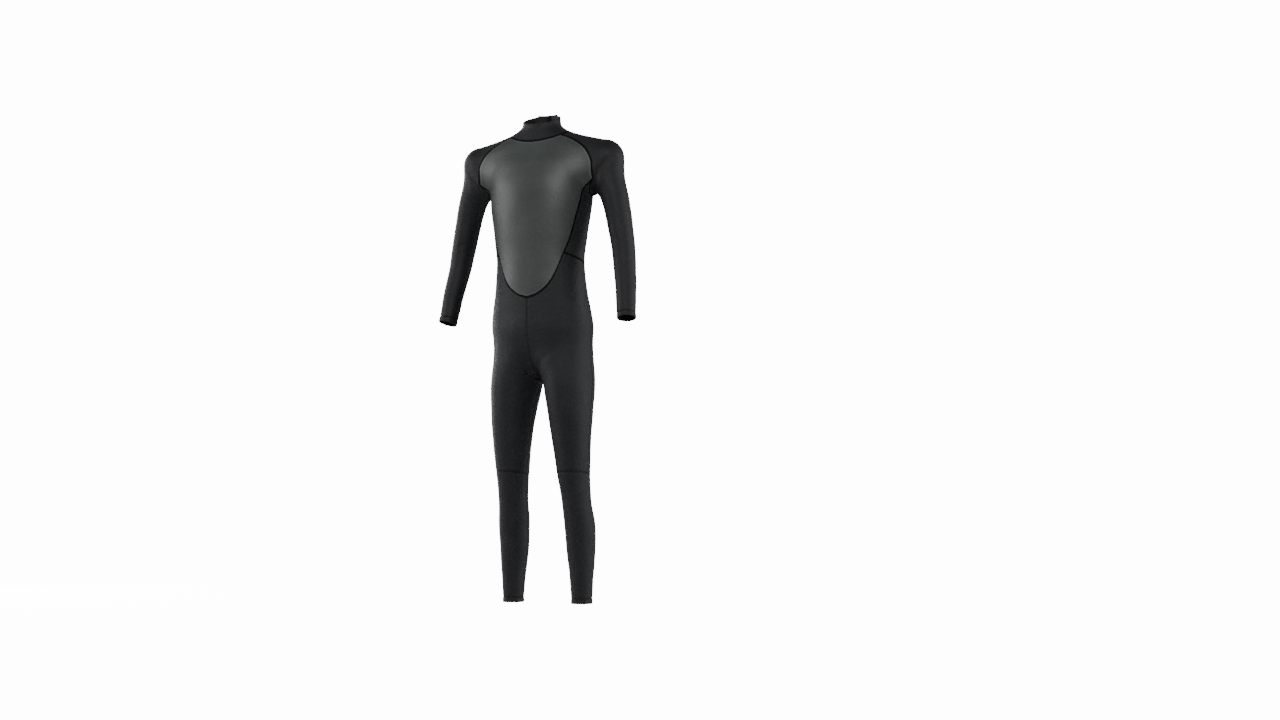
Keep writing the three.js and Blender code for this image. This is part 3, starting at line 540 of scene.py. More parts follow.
# %% The sleeve
SPINE = np.array([[66, 12, 1366], [104, 12, 1352], [136, 12, 1334], [162, 12, 1314], [182, 12, 1296],
                  [196, 12, 1280], [205, 12, 1268], [211, 12, 1258], [216, 12, 1246]], float)
WRIST_AT, WRIST_WAY = np.array([295.0, -44.0, 842.0]), unit(np.array([0.15, -0.25, -1.0]))
cuff_top = WRIST_AT - WRIST_WAY * WRIST_HEM


def fan(origin, axis, turn, lean):
    """Rays from a spine point, square to its axis, turned by an angle and leaning along it."""
    d = unit(np.cross(axis, [0.0, 1.0, 0.0]))
    f = np.cross(axis, d)
    way = d * np.cos(turn)[..., None] + f * np.sin(turn)[..., None] + axis * lean[..., None]
    return cast(np.broadcast_to(origin, way.shape), unit(way), 160)


arm_front, arm_back = join(raglan_front[::-1], raglan_low), raglan_back[::-1]
s = np.linspace(0, 8, 8 * FINE + 1)
spine_table = np.concatenate([np.arange(9.0)[:, None], SPINE], 1)
spine = np.stack([section(spine_table, k, s) for k in (1, 2, 3)], 1)
a = np.radians(mix(8, 90, s / 8))
along = vec(np.cos(a), 0, -np.sin(a))
d = unit(np.cross(along, [0.0, 1.0, 0.0]))
f = np.cross(along, d)
turns, leans = [], []
for side, line in enumerate((arm_front, arm_back)):
    v = line - spine
    u, w = (v * d).sum(1), (v * f).sum(1)
    turn = np.arctan2(w, u)
    if side == 0:
        turns.append(np.where(turn < 0, turn + 2 * np.pi, turn))
    else:
        turns.append(np.where(turn > 0, turn - 2 * np.pi, turn))
    leans.append((v * along).sum(1) / np.hypot(u, w))
across = np.linspace(0, 1, TOP * FINE + 1)
weight = np.abs(2 * across - 1) ** 2.5
turn = mix(turns[0][:, None], turns[1][:, None], across)
lean = np.where(across < 0.5, leans[0][:, None], leans[1][:, None]) * weight
cap = fan(spine[:, None], along[:, None], turn, lean)
blend = np.linspace(0, 1, FINE + 1)[:, None, None]
cap[:FINE + 1] = settle(mix(neck_side, cap[FINE], blend))
cap[0], cap[:, 0], cap[:, -1] = neck_side, arm_front, arm_back

t = np.linspace(0, 1, ARM_STEPS * FINE + 1)[1:]
z = mix(SPINE[8, 2], cuff_top[2], t)
middle = vec(section(ARM, 1, z), section(ARM, 2, z), z)
middle += (cuff_top - middle[-1]) * ramp(t, 0.6, 1)[:, None]
axis = unit(mix(np.array([0.0, 0.0, -1.0]), WRIST_WAY, ramp(t, 0.1, 1)[:, None]))
under = cap[-1, 0] - SPINE[8]
slant, start = -under[2] / math.hypot(under[0], under[1]), math.atan2(-under[1], under[0])
start = mix(start, np.pi, ramp(t, 0, 0.4))[:, None]
turn = mix(start, start - 2 * np.pi, across)
lean = slant * weight * (1 - ramp(t, 0, 0.45))[:, None]
arm = fan(middle[:, None], axis[:, None], turn, lean)
grids["sleeve"] = np.concatenate([cap, arm])
print("sleeve", grids["sleeve"].shape[:2])

# %% The collar
COLLAR_FRONT, COLLAR_RISE, THROAT_Y = 54.0, 0.36, -54.0
base = join(neck_front, neck_side, neck_rear)
ring = join(mirrored(base)[::-1], base)
spread = np.degrees(np.arctan2(ring[:, 0], AXIS_Y - ring[:, 1]))
rim_z = np.full(len(ring), NECKLINE[0, 1] + COLLAR_FRONT)
for _ in range(8):
    rim_z = NECKLINE[0, 1] + COLLAR_FRONT + COLLAR_RISE * (around(spread, rim_z)[:, 1] - THROAT_Y)
rim = around(spread, rim_z)
t = np.linspace(0, 1, STAND * FINE + 1)[:, None, None]
grids["collar"] = settle(mix(ring, rim, t))
grids["collar"][0], grids["collar"][-1] = ring, rim
print("collar height behind", round(float(rim[0, 2] - ring[0, 2])), "mm")

# %% [markdown]
# ## Folds
# Worn rubber cloth hardly wrinkles. It folds softly where the arm meets the chest and back,
# dips a little behind the knee and in the elbow, and its surface rolls by half a millimetre
# everywhere. The folds are grooves along a few lines on the body, added along the normals.

# %% The fold field
FOLDS = [  # points on the left side, depth, half width
    ([[234, -34, 1322], [222, -42, 1302], [205, -46, 1280], [194, -40, 1254], [186, -32, 1230]], 3.4, 8.0),
    ([[252, 44, 1327], [235, 60, 1290], [222, 62, 1262], [214, 58, 1232]], 2.6, 8.0),
    ([[246, -34, 1086], [262, -46, 1070], [284, -40, 1062]], 0.9, 7.0),
    ([[244, -28, 1066], [258, -44, 1050], [282, -42, 1044]], 0.7, 6.0),
    ([[16, -34, 690], [34, -72, 716], [62, -92, 742]], 1.4, 9.0),
    ([[12, 70, 700], [40, 108, 712], [78, 116, 716]], 1.2, 10.0),
    ([[72, 60, 404], [100, 78, 398], [132, 62, 404]], 0.8, 7.0),
    ([[74, 66, 362], [102, 82, 356], [130, 66, 362]], 0.7, 7.0)]


def folds(p):
    """Offset along the normal: a groove at each fold line, plus slow waves.

    A groove is -depth exp(-(distance / width)^2), with a low bulge beside it, faded at its ends.
    """
    q = np.array(p)
    q[..., 0] = np.abs(q[..., 0])
    total = np.zeros(p.shape[:-1])
    for points, depth, width in FOLDS:
        points = np.array(points, float)
        best, fade = np.full(p.shape[:-1], 1e9), np.zeros(p.shape[:-1])
        for i, (a, b) in enumerate(zip(points[:-1], points[1:])):
            t = np.clip(((q - a) * (b - a)).sum(-1) / ((b - a) ** 2).sum(), 0, 1)
            distance = np.linalg.norm(q - a - (b - a) * t[..., None], axis=-1)
            run = (i + t) / (len(points) - 1)
            fade = np.where(distance < best, np.sin(np.pi * np.clip(run, 0, 1)) ** 0.6, fade)
            best = np.minimum(best, distance)
        bulge = 0.28 * np.exp(-((best - 2.2 * width) / width) ** 2)
        total += fade * depth * (bulge - np.exp(-(best / width) ** 2))
    x, y, z = p[..., 0], p[..., 1], p[..., 2]
    waves = np.sin(z / 17.0 + x / 23.0 + 1.3) + np.sin(z / 29.0 - x / 19.0 + y / 31.0)
    waves = waves + np.sin(z / 11.5 + y / 15.0 + 0.7) * 0.5
    quiet = 1 - np.exp(-((x / 60) ** 4)) * ramp(y, 30, 60) * ramp(z, 860, 900)
    return (total + 0.22 * waves) * quiet * (1 - ramp(z, 1390, 1430)) * ramp(z, 10, 60)


print("deepest fold", round(float(folds(grids["sleeve"]).min()), 2), "mm")

# %% [markdown]
# ## From a grid to a closed piece of cloth
# The outer face follows the body, the inner face lies three millimetres below, and a wall
# joins them. Close to a cut edge extra rows are put in, so that the edge can roll down into
# the seam. Each piece carries a UV map in metres of cloth and its distance to the edge.

# %% Mesh helpers
def quads(rows, cols, looped=False, start=0):
    """Faces of a grid of points."""
    i, j = np.meshgrid(np.arange(rows - 1), np.arange(cols if looped else cols - 1), indexing="ij")
    k = (j + 1) % cols
    corners = [i * cols + j, i * cols + k, (i + 1) * cols + k, (i + 1) * cols + j]
    return start + np.stack(corners, -1).reshape(-1, 4)


def wheel(rows, cols):
    """Faces of a grid that closes on itself both ways."""
    i, j = np.meshgrid(np.arange(rows), np.arange(cols), indexing="ij")
    k, l = (i + 1) % rows, (j + 1) % cols
    return np.stack([i * cols + j, k * cols + j, k * cols + l, i * cols + l], -1).reshape(-1, 4)


def capped(rings):
    """Points and faces of equal rings joined into a tube, each end closed by a fan from its middle."""
    n, m = rings.shape[:2]
    points = np.concatenate([rings.reshape(-1, 3), rings[[0, -1]].mean(1)])
    j = np.arange(m)
    k = (j + 1) % m
    first, last = j * 0 + n * m, (n - 1) * m
    caps = [np.stack([first, k, j, j], 1), np.stack([first + 1, last + j, last + k, last + k], 1)]
    return points, np.concatenate([quads(n, m, True), *caps])


def copies(faces, size, count):
    """Faces of count copies of a shape that has size points."""
    return (faces[None] + (np.arange(count) * size)[:, None, None]).reshape(-1, 4)


def signed_volume(points, faces):
    """Six times the volume inside closed quads, positive if they face outwards."""
    a, b, c, d = (points[faces[:, k]] for k in range(4))
    return float((a * np.cross(b, c)).sum() + (a * np.cross(c, d)).sum())


def build(name, points, faces, materials, uv=None, edge=None, face_slot=None, sharp=None, mirror=False):
    """Puts arrays into a mesh object: points in millimetres above the ankles, the object in metres."""
    points = np.asarray(points, float)
    if mirror:
        points = points * [-1, 1, 1]
    faces = np.asarray(faces)
    if signed_volume(points, faces) < 0:
        faces = faces[:, ::-1]
    mesh = bpy.data.meshes.new(name)
    mesh.from_pydata(((points - [0, 0, SHOULDER_Z]) / 1000).tolist(), [], [
        row[:3] if row[3] == row[2] else row for row in faces.tolist()])
    for material in materials:
        mesh.materials.append(material)
    corner = np.empty(len(mesh.loops), np.int32)
    mesh.loops.foreach_get("vertex_index", corner)
    if uv is not None:
        layer = mesh.uv_layers.new(name="cloth")
        layer.uv.foreach_set("vector", np.asarray(uv, np.float32)[corner].ravel())
    if edge is not None:
        attribute = mesh.attributes.new("edge_mm", "FLOAT", "POINT")
        attribute.data.foreach_set("value", np.asarray(edge, np.float32).ravel())
    if face_slot is not None:
        mesh.polygons.foreach_set("material_index", np.asarray(face_slot, np.int32))
    mesh.shade_smooth()
    if sharp is not None:
        mesh.set_sharp_from_angle(angle=math.radians(sharp))
    mesh.update()
    obj = bpy.data.objects.new(name, mesh)
    bpy.context.scene.collection.objects.link(obj)
    return obj


def cloth_arrays(outer, inner, uv, edge):
    """Closed shell of two equal grids with a wall round the border."""
    rows, cols = outer.shape[:2]
    points = np.concatenate([outer.reshape(-1, 3), inner.reshape(-1, 3)])
    n = rows * cols
    top, under = quads(rows, cols), quads(rows, cols, start=n)[:, ::-1]
    j = np.arange(cols - 1)
    k = j + 1
    i = np.arange(rows - 1) * cols
    walls = np.concatenate([
        np.stack([k, j, n + j, n + k], 1), np.stack([j, k, n + k, n + j], 1) + (rows - 1) * cols,
        np.stack([i, i + cols, n + i + cols, n + i], 1),
        np.stack([i + cols, i, n + i, n + i + cols], 1) + cols - 1])
    faces = np.concatenate([top, under, walls])
    slot = np.concatenate([np.zeros(len(top)), np.ones(len(under)), np.zeros(len(walls))])
    return points, faces, np.concatenate([uv.reshape(-1, 2)] * 2), np.concatenate([edge.ravel()] * 2), slot


RIM_STEPS = (0.6, 1.1, 1.9, 3.2)
SEAM_GAP = 0.5


def with_rim(grid):
    """Moves the first and last row in by half the seam gap and adds close rows beside them."""
    def one_end(g):
        step = g[1] - g[0]
        length = np.maximum(np.linalg.norm(step, axis=-1, keepdims=True), 1e-6)
        shares = [np.minimum(m / length, 0.12 + 0.8 * m / 3.6) for m in (SEAM_GAP / 2, *RIM_STEPS)]
        part = [g[0] + step * share for share in shares]
        return np.concatenate([np.stack(part), g[1:]])
    return one_end(one_end(grid)[::-1])[::-1]


def run(grid):
    """Distance along each column from the first row."""
    steps = np.linalg.norm(np.diff(grid, axis=0), axis=-1)
    return np.concatenate([np.zeros((1, grid.shape[1])), np.cumsum(steps, 0)])


def cloth(name, grid, materials, thickness=FABRIC, lift=0.0, centred=False, mirror=False, fold=True):
    """A panel of rubber cloth on the body, its edges rolled into the seams.

    Returns the object, its flat size and its area.
    """
    g = with_rim(grid)
    g = with_rim(g.transpose(1, 0, 2)).transpose(1, 0, 2)
    normal = outward(g)
    down = run(g)
    level = run(g.transpose(1, 0, 2)).T
    edge = np.minimum(down, down[-1] - down)
    edge = np.minimum(edge, np.minimum(level, level[:, -1:] - level))
    offset = lift + (folds(g) if fold else 0)
    trough = 0.75 * np.exp(-((edge / 3.2) ** 2)) + 0.55 * (1 - np.clip(edge / 0.9, 0, 1)) ** 2
    layers = []
    for height in (offset - trough, offset - thickness + 0.5 * np.exp(-((edge / 1.0) ** 2))):
        layer = g + normal * height[..., None]
        if centred:
            layer[..., 0] = np.maximum(layer[..., 0], SEAM_GAP / 2)
        layers.append(layer)
    uv = np.stack([level - level.mean(1, keepdims=True), down], -1) / 1000
    points, faces, uv, edge, slot = cloth_arrays(*layers, uv, edge)
    obj = build(name, points, faces, materials, uv, edge, slot, mirror=mirror)
    area = np.linalg.norm(np.cross(g[1:, :-1] - g[:-1, :-1], g[:-1, 1:] - g[:-1, :-1]), axis=-1).sum() / 1e6
    return obj, (float(level[:, -1].max()) / 1000, float(down[-1].max()) / 1000), float(area)


print("helpers ready")

# %% [markdown]
# ## Shared patterns
# Several finishes share an effect, so each effect is a node group: the loops of knitted
# cloth, the zigzag of a flatlock seam, the over and under of a woven tape, and slow soft
# patches. They give heights and masks; the shaders stay in the materials.

# %% Sums made of nodes
class Wire:
    """A socket that works like a number: each sum adds a Math node to its tree."""

    def __init__(self, tree, socket):
        self.tree = tree
        self.socket = socket

    def __add__(self, other):
        return calc(self.tree, "ADD", self, other)

    def __sub__(self, other):
        return calc(self.tree, "SUBTRACT", self, other)

    def __rsub__(self, other):
        return calc(self.tree, "SUBTRACT", other, self)

    def __mul__(self, other):
        return calc(self.tree, "MULTIPLY", self, other)

    def __truediv__(self, other):
        return calc(self.tree, "DIVIDE", self, other)

    def __rtruediv__(self, other):
        return calc(self.tree, "DIVIDE", other, self)

    def __pow__(self, other):
        return calc(self.tree, "POWER", self, other)

    def __mod__(self, other):
        return calc(self.tree, "MODULO", self, other)

    def __abs__(self):
        return calc(self.tree, "ABSOLUTE", self)


def plug(tree, value, socket):
    """Links a wire to an input, or sets the input to a plain value."""
    if isinstance(value, Wire):
        tree.links.new(value.socket, socket)
    else:
        socket.default_value = value


def calc(tree, operation, *values):
    """A Math node. Each value is a number or a wire."""
    node = tree.nodes.new("ShaderNodeMath")
    node.operation = operation
    for socket, value in zip(node.inputs, values):
        plug(tree, value, socket)
    return Wire(tree, node.outputs[0])


def lowest(a, b):
    """The smaller of a wire and another value."""
    return calc(a.tree, "MINIMUM", a, b)


def highest(a, b):
    """The larger of a wire and another value."""
    return calc(a.tree, "MAXIMUM", a, b)


def sine(a):
    """Sine of a wire, in radians."""
    return calc(a.tree, "SINE", a)


def fraction(a):
    """What is left of a wire above the whole number below it."""
    return calc(a.tree, "FRACT", a)


print("sums ready")


# %% Groups
def new_group(name, inputs, outputs):
    """An empty node group. Returns its tree, its inputs as wires and the sockets of its outputs."""
    tree = bpy.data.node_groups.new(name, "ShaderNodeTree")
    for label, value in inputs.items():
        kind = "NodeSocketVector" if value is None else "NodeSocketFloat"
        socket = tree.interface.new_socket(name=label, in_out="INPUT", socket_type=kind)
        if value is not None:
            socket.default_value = value
    for label in outputs:
        tree.interface.new_socket(name=label, in_out="OUTPUT", socket_type="NodeSocketFloat")
    entrance = tree.nodes.new("NodeGroupInput").outputs
    given = {label: Wire(tree, entrance[label]) for label in inputs}
    return tree, given, tree.nodes.new("NodeGroupOutput").inputs


def use_group(tree, group, output, **values):
    """A group node with its inputs set or linked; returns one of its outputs as a wire."""
    node = tree.nodes.new("ShaderNodeGroup")
    node.node_tree = group
    for label, value in values.items():
        plug(tree, value, node.inputs[label.replace("_", " ")])
    return Wire(tree, node.outputs[output])


def across_and_along(cloth_place):
    """The first two parts of a vector wire."""
    node = cloth_place.tree.nodes.new("ShaderNodeSeparateXYZ")
    cloth_place.tree.links.new(cloth_place.socket, node.inputs[0])
    return Wire(cloth_place.tree, node.outputs[0]), Wire(cloth_place.tree, node.outputs[1])


print("groups can be made")

# %% Knit loops
knit_loops, given, out = new_group(
    "knit_loops", {"Cloth": None, "Loops per metre": 1150.0}, ["Height", "Gap"])
x, y = across_and_along(given["Cloth"])
off = fraction(x * given["Loops per metre"]) - 0.5
course = y * (given["Loops per metre"] * 0.8)
stitch = abs(sine((course + abs(off) * 1.3) * math.pi))
height = stitch ** 0.6 * calc(knit_loops, "COSINE", off * math.pi)
plug(knit_loops, height, out["Height"])
plug(knit_loops, 1.0 - lowest(height * 2.2, 1.0), out["Gap"])
print("group", knit_loops.name)

# %% Flatlock threads
# across runs from 0 to 1 over the seam; along is in metres
flatlock, given, out = new_group("flatlock_threads", {"Cloth": None, "Stitch length": 0.0024}, ["Height"])
x, y = across_and_along(given["Cloth"])
step = y / given["Stitch length"]
saw = abs(fraction(step) * 2.0 - 1.0)
bead = abs(sine(step * math.pi)) * 0.7 + 0.45
threads = [highest(1.0 - abs(x - line) * 6.0, 0.0) for line in (saw, 1.0 - saw, fraction(step + 0.25))]
threads += [highest(1.0 - abs(x - place) * 11.0, 0.0) * bead for place in (0.14, 0.86)]
height = threads[0]
for other in threads[1:]:
    height = highest(height, other)
plug(flatlock, height ** 0.7, out["Height"])
print("group", flatlock.name)

# %% Woven ribs
weave, given, out = new_group(
    "woven_ribs", {"Cloth": None, "Ribs per metre": 900.0, "Slant": 0.0}, ["Height"])
x, y = across_and_along(given["Cloth"])
rib = (y + abs(x) * given["Slant"]) * given["Ribs per metre"]
rows = abs(sine(rib * math.pi))
shift = calc(weave, "FLOOR", rib) % 2.0 * 0.5
columns = abs(sine((x * given["Ribs per metre"] + shift) * math.pi))
plug(weave, rows ** 0.5 * (columns * 0.6 + 0.4), out["Height"])
print("group", weave.name)

# %% Slow soft patches
patches, given, out = new_group("soft_patches", {"Place": None, "Size": 0.08, "Contrast": 1.0}, ["Value"])
noise = patches.nodes.new("ShaderNodeTexNoise")
noise.inputs["Detail"].default_value = 3.0
plug(patches, given["Place"], noise.inputs["Vector"])
plug(patches, calc(patches, "DIVIDE", 1.0, given["Size"]), noise.inputs["Scale"])
cloud = (Wire(patches, noise.outputs["Fac"]) - 0.5) * given["Contrast"] + 0.5
plug(patches, lowest(highest(cloud, 0.0), 1.0), out["Value"])
print("group", patches.name)

# %% [markdown]
# ## Finishes
# The jersey face is a soft black with a faint violet sheen, with painted shade that darkens it
# towards the seams; the chest is bare rubber skin, grey-green and satin, that shows broad soft
# highlights and carries a painted highlight along its rim. Threads, tapes, webbing, pile and
# the lacquered zip parts each get their own finish, with the pattern at its real scale.

# %% Parts that every finish uses
def finish(name, roughness, specular=0.5, sheen=0.0, coat=0.0):
    """A new material with the plain values set on the shader itself."""
    material = bpy.data.materials.new(name)
    material.use_nodes = True
    tree = material.node_tree
    shader = tree.nodes["Principled BSDF"]
    shader.inputs["Roughness"].default_value = roughness
    shader.inputs["Specular IOR Level"].default_value = specular
    shader.inputs["Sheen Weight"].default_value = sheen
    shader.inputs["Sheen Roughness"].default_value = 0.45
    shader.inputs["Sheen Tint"].default_value = (0.8, 0.8, 1.0, 1)
    shader.inputs["Coat Weight"].default_value = coat
    return material, tree, shader


def cloth_uv(tree):
    """The piece's own UV map, in metres of cloth."""
    node = tree.nodes.new("ShaderNodeUVMap")
    node.uv_map = "cloth"
    return Wire(tree, node.outputs["UV"])


def object_place(tree):
    """Object coordinates, in metres."""
    return Wire(tree, tree.nodes.new("ShaderNodeTexCoord").outputs["Object"])


def edge_distance(tree):
    """Millimetres to the cut edge of the panel."""
    node = tree.nodes.new("ShaderNodeAttribute")
    node.attribute_name = "edge_mm"
    return Wire(tree, node.outputs["Fac"])


def soft_tone(tree, size, contrast):
    """Soft patches of a size in metres, from 0 to 1."""
    return use_group(tree, patches, "Value", Place=object_place(tree), Size=size, Contrast=contrast)


def colour_between(tree, shader, factor, dark, light):
    """Base colour from dark to light by a mask."""
    node = tree.nodes.new("ShaderNodeMix")
    node.data_type = "RGBA"
    node.inputs[6].default_value = (*dark, 1)
    node.inputs[7].default_value = (*light, 1)
    plug(tree, factor, node.inputs[0])
    tree.links.new(node.outputs[2], shader.inputs["Base Color"])


def roughness_between(tree, shader, factor, low, high):
    """Roughness from low to high by a mask."""
    plug(tree, factor * (high - low) + low, shader.inputs["Roughness"])


def relief(tree, shader, height, depth):
    """Bump whose height of 1 stands for a depth in metres."""
    bump = tree.nodes.new("ShaderNodeBump")
    bump.inputs["Distance"].default_value = depth
    bump.inputs["Strength"].default_value = 1.0
    plug(tree, height, bump.inputs["Height"])
    tree.links.new(bump.outputs["Normal"], shader.inputs["Normal"])


print("finish helpers ready")


# %% Black jersey, its lining and the hems
def jersey(name, dark, light, loops, sheen, painted_seam_shade=True):
    """Knit-faced rubber cloth: loops in relief, slow patches of tone, and painted shade that darkens it
    towards the seams.
    """
    material, tree, shader = finish(name, 0.62, 0.28, sheen)
    knit = {"Cloth": cloth_uv(tree), "Loops_per_metre": loops}
    soft = soft_tone(tree, 0.11, 1.6)
    tone_and_painted_light = soft * (1.0 - use_group(tree, knit_loops, "Gap", **knit) * 0.45)
    # painted shade: the colour darkens over the last 6.5 mm before the cut edge, where the seam groove lies
    # in shade
    if painted_seam_shade:
        tone_and_painted_light = tone_and_painted_light * lowest(edge_distance(tree) * 0.10 + 0.35, 1.0)
    colour_between(tree, shader, tone_and_painted_light, dark, light)
    roughness_between(tree, shader, soft, 0.56, 0.68)
    relief(tree, shader, use_group(tree, knit_loops, "Height", **knit), 0.00007)
    return material


black_jersey = jersey("black_jersey", (0.004, 0.004, 0.005), (0.013, 0.013, 0.0155), 1150, 0.05)
inner_lining = jersey("inner_lining", (0.005, 0.005, 0.006), (0.014, 0.014, 0.016), 900, 0.03, False)
hem_jersey = jersey("hem_jersey", (0.0035, 0.0035, 0.0045), (0.012, 0.012, 0.014), 1150, 0.04)
print("jersey finishes")

# %% Satin rubber skin of the chest
rubber_skin, tree, shader = finish("rubber_skin", 0.5)
soft = soft_tone(tree, 0.16, 1.8)
fine = soft_tone(tree, 0.012, 1.4)
# painted highlight: a lighter band 3 to 9 mm in from the cut edge, where the rolled rim catches the light
painted_rim_highlight = highest(1.0 - abs(edge_distance(tree) * 0.36 - 2.1), 0.0)
tone_and_painted_light = lowest(soft * 0.5 + fine * 0.2 + painted_rim_highlight * 0.9, 1.0)
colour_between(tree, shader, tone_and_painted_light, (0.020, 0.024, 0.022), (0.052, 0.061, 0.056))
roughness_between(tree, shader, soft, 0.48, 0.58)
grain = tree.nodes.new("ShaderNodeTexNoise")
grain.inputs["Scale"].default_value = 900.0
grain.inputs["Detail"].default_value = 2.0
plug(tree, object_place(tree), grain.inputs["Vector"])
relief(tree, shader, Wire(tree, grain.outputs["Fac"]) + fine * 1.5, 0.00009)
print("material", rubber_skin.name)

# %% Threads, tape and webbing
def patterned(name, group, depth, dark, light, shine, **values):
    """A finish whose colour and relief both follow the height of a sewn or woven pattern."""
    material, tree, shader = finish(name, *shine)
    height = use_group(tree, group, "Height", Cloth=cloth_uv(tree), **values)
    colour_between(tree, shader, height, dark, light)
    relief(tree, shader, height, depth)
    return material


seam_thread = patterned("seam_thread", flatlock, 0.0003, (0.0010, 0.0010, 0.0012), (0.0045, 0.0045, 0.0050),
                        (0.8, 0.1), Stitch_length=0.0026)
flat_thread = patterned("flat_thread", flatlock, 0.00025, (0.0020, 0.0020, 0.0024), (0.0100, 0.0100, 0.0115),
                        (0.7, 0.22, 0.03), Stitch_length=0.0026)
zip_tape = patterned("zip_tape", weave, 0.00010, (0.004, 0.004, 0.005), (0.017, 0.017, 0.019),
                     (0.8, 0.3, 0.08), Ribs_per_metre=1300.0, Slant=1.0)
webbing = patterned("webbing", weave, 0.00016, (0.008, 0.008, 0.010), (0.030, 0.030, 0.034),
                    (0.66, 0.4, 0.15), Ribs_per_metre=850.0, Slant=0.0)
needle_thread, tree, shader = finish("needle_thread", 0.5, 0.5, 0.1)
colour_between(tree, shader, soft_tone(tree, 0.004, 1.5), (0.010, 0.010, 0.012), (0.026, 0.026, 0.030))
print("thread, tape and webbing")

# %% Pile, moulded teeth and lacquered metal
def pile(name, scale, depth, light):
    """Hook or loop tape: a close field of tiny tufts."""
    material, tree, shader = finish(name, 0.9, 0.25, 0.3)
    tufts = tree.nodes.new("ShaderNodeTexVoronoi")
    tufts.inputs["Scale"].default_value = scale
    plug(tree, object_place(tree), tufts.inputs["Vector"])
    height = 1.0 - Wire(tree, tufts.outputs["Distance"])
    colour_between(tree, shader, height, (0.004, 0.004, 0.005), light)
    relief(tree, shader, height, depth)
    return material


hook_pile = pile("hook_pile", 620.0, 0.0005, (0.020, 0.020, 0.022))
loop_pile = pile("loop_pile", 900.0, 0.0006, (0.026, 0.026, 0.030))

tooth_plastic, tree, shader = finish("tooth_plastic", 0.38)
soft = soft_tone(tree, 0.01, 1.5)
colour_between(tree, shader, soft, (0.010, 0.010, 0.011), (0.018, 0.018, 0.020))
roughness_between(tree, shader, soft, 0.32, 0.46)

black_lacquer, tree, shader = finish("black_lacquer", 0.3, coat=0.25)
soft = soft_tone(tree, 0.006, 3.0)
colour_between(tree, shader, soft ** 4.0, (0.014, 0.014, 0.016), (0.07, 0.07, 0.075))
roughness_between(tree, shader, soft, 0.26, 0.42)
print("pile, plastic and lacquer")

# %% [markdown]
# ## Panels
# Each panel of the left side is built once and mirrored for the right.
# The size that each panel was cut to is printed.

# %% Lay the panels
def place_piece(obj, stands_for, body_name="suit"):
    """Puts a piece on a body, if one is named, and hides the imported parts that it stands for."""
    if body_name:
        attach(obj, body_name)
    if stands_for:
        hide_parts(*stands_for)
    return obj


def lay(name, grid_name, materials, slot, sides=("l", "r"), **options):
    """A panel on both sides, or one in the middle."""
    for side in sides:
        full = f"{name}_{side}" if side else name
        obj, size, area = cloth(f"{full}_cloth", grids[grid_name], materials, mirror=side == "r", **options)
        place_piece(obj, [full])
        print(obj.name, "cut", [round(v, 3) for v in size], "m, area", round(area, 4), "m2")


two_faces = [black_jersey, inner_lining]
lay("chest_panel", "chest", [rubber_skin, inner_lining], "smoothskin", sides=("",))
lay("side_panel", "side", two_faces, "neoprene")
lay("front_leg", "front_leg", two_faces, "neoprene", centred=True)
lay("back_leg", "back_leg", two_faces, "neoprene", centred=True)
lay("back_panel", "back", two_faces, "neoprene")
lay("lower_leg", "shin", two_faces, "neoprene")
lay("sleeve", "sleeve", two_faces, "neoprene")
lay("collar", "collar", two_faces, "neoprene", sides=("",))

# %% [markdown]
# ## Hems
# The ends of sleeves and legs are turned in and stitched twice. A hem is a rounded profile
# carried round the end of the tube.

# %% Turned hems
HEM_PROUD = 0.6
HEM_ROWS = (3.4, 7.0)


def hem(name, ring_points, way, height, stands_for, mirror=False):
    """A rounded U profile carried round a ring: it stands 0.6 mm proud and ends in a half circle."""
    normal = outward(ring_points)
    normal = unit(normal - (normal @ way)[..., None] * way)
    a = np.radians(np.linspace(90, -90, 13))
    half = (FABRIC + HEM_PROUD) / 2
    middle = HEM_PROUD - half
    curl = height - half + half * np.cos(a)
    along = np.concatenate([[0.3, 0.6, 1.2, 3.0, 6.0, 9.0], curl, [9.0, 6.0, 3.0, 1.2, 0.3]])
    out = np.concatenate([[-0.6, 0.0, 0.35, 0.55, 0.6, 0.6], middle + half * np.sin(a), [-FABRIC] * 5])
    swell = sum(0.25 * np.exp(-((along - depth) ** 2)) for depth in HEM_ROWS)
    out = out - np.where(np.arange(len(out)) < 9, swell, 0)
    grid = ring_points[:, None] + way * along[None, :, None] + normal[:, None] * out[None, :, None]
    n, m = grid.shape[:2]
    turn = distance(ring_points)
    uv = np.stack(np.broadcast_arrays(turn[:, None], along[None]), -1).reshape(-1, 2) / 1000
    obj = build(name, grid.reshape(-1, 3), wheel(n, m), [hem_jersey], uv, np.full(n * m, 6.0), mirror=mirror)
    return place_piece(obj, stands_for)


spokes = len(across) - 1
cuff_ring = fan(np.broadcast_to(cuff_top, (spokes, 3)), np.broadcast_to(WRIST_WAY, (spokes, 3)),
                (np.pi - 2 * np.pi * across)[1:], 0 * across[1:])
ankle_ring = leg_point(shin_angle[1:], ANKLE_HEM + 0 * shin_angle[1:])
HEMS = [("wrist_hem", cuff_ring, WRIST_WAY, WRIST_HEM),
        ("ankle_hem", ankle_ring, np.array([0.0, 0.0, -1.0]), ANKLE_HEM)]
for name, ring_points, way, height in HEMS:
    for side in "lr":
        hem(f"{name}_{side}_turned", ring_points, way, height, [f"{name}_{side}"], side == "r")
print("hems", [round(float(distance(closed_ring(ring))[-1])) for _, ring, _, _ in HEMS], "mm round")

# %% [markdown]
# ## Seams
# The panels are glued and flatlocked: threads cross over the joint in a low band that pulls
# the edges down a little. Each band is a thin ribbon with a crowned top.

# %% Flatlock bands
BAND_STEP, BAND_FLOOR = 3.0, -1.2


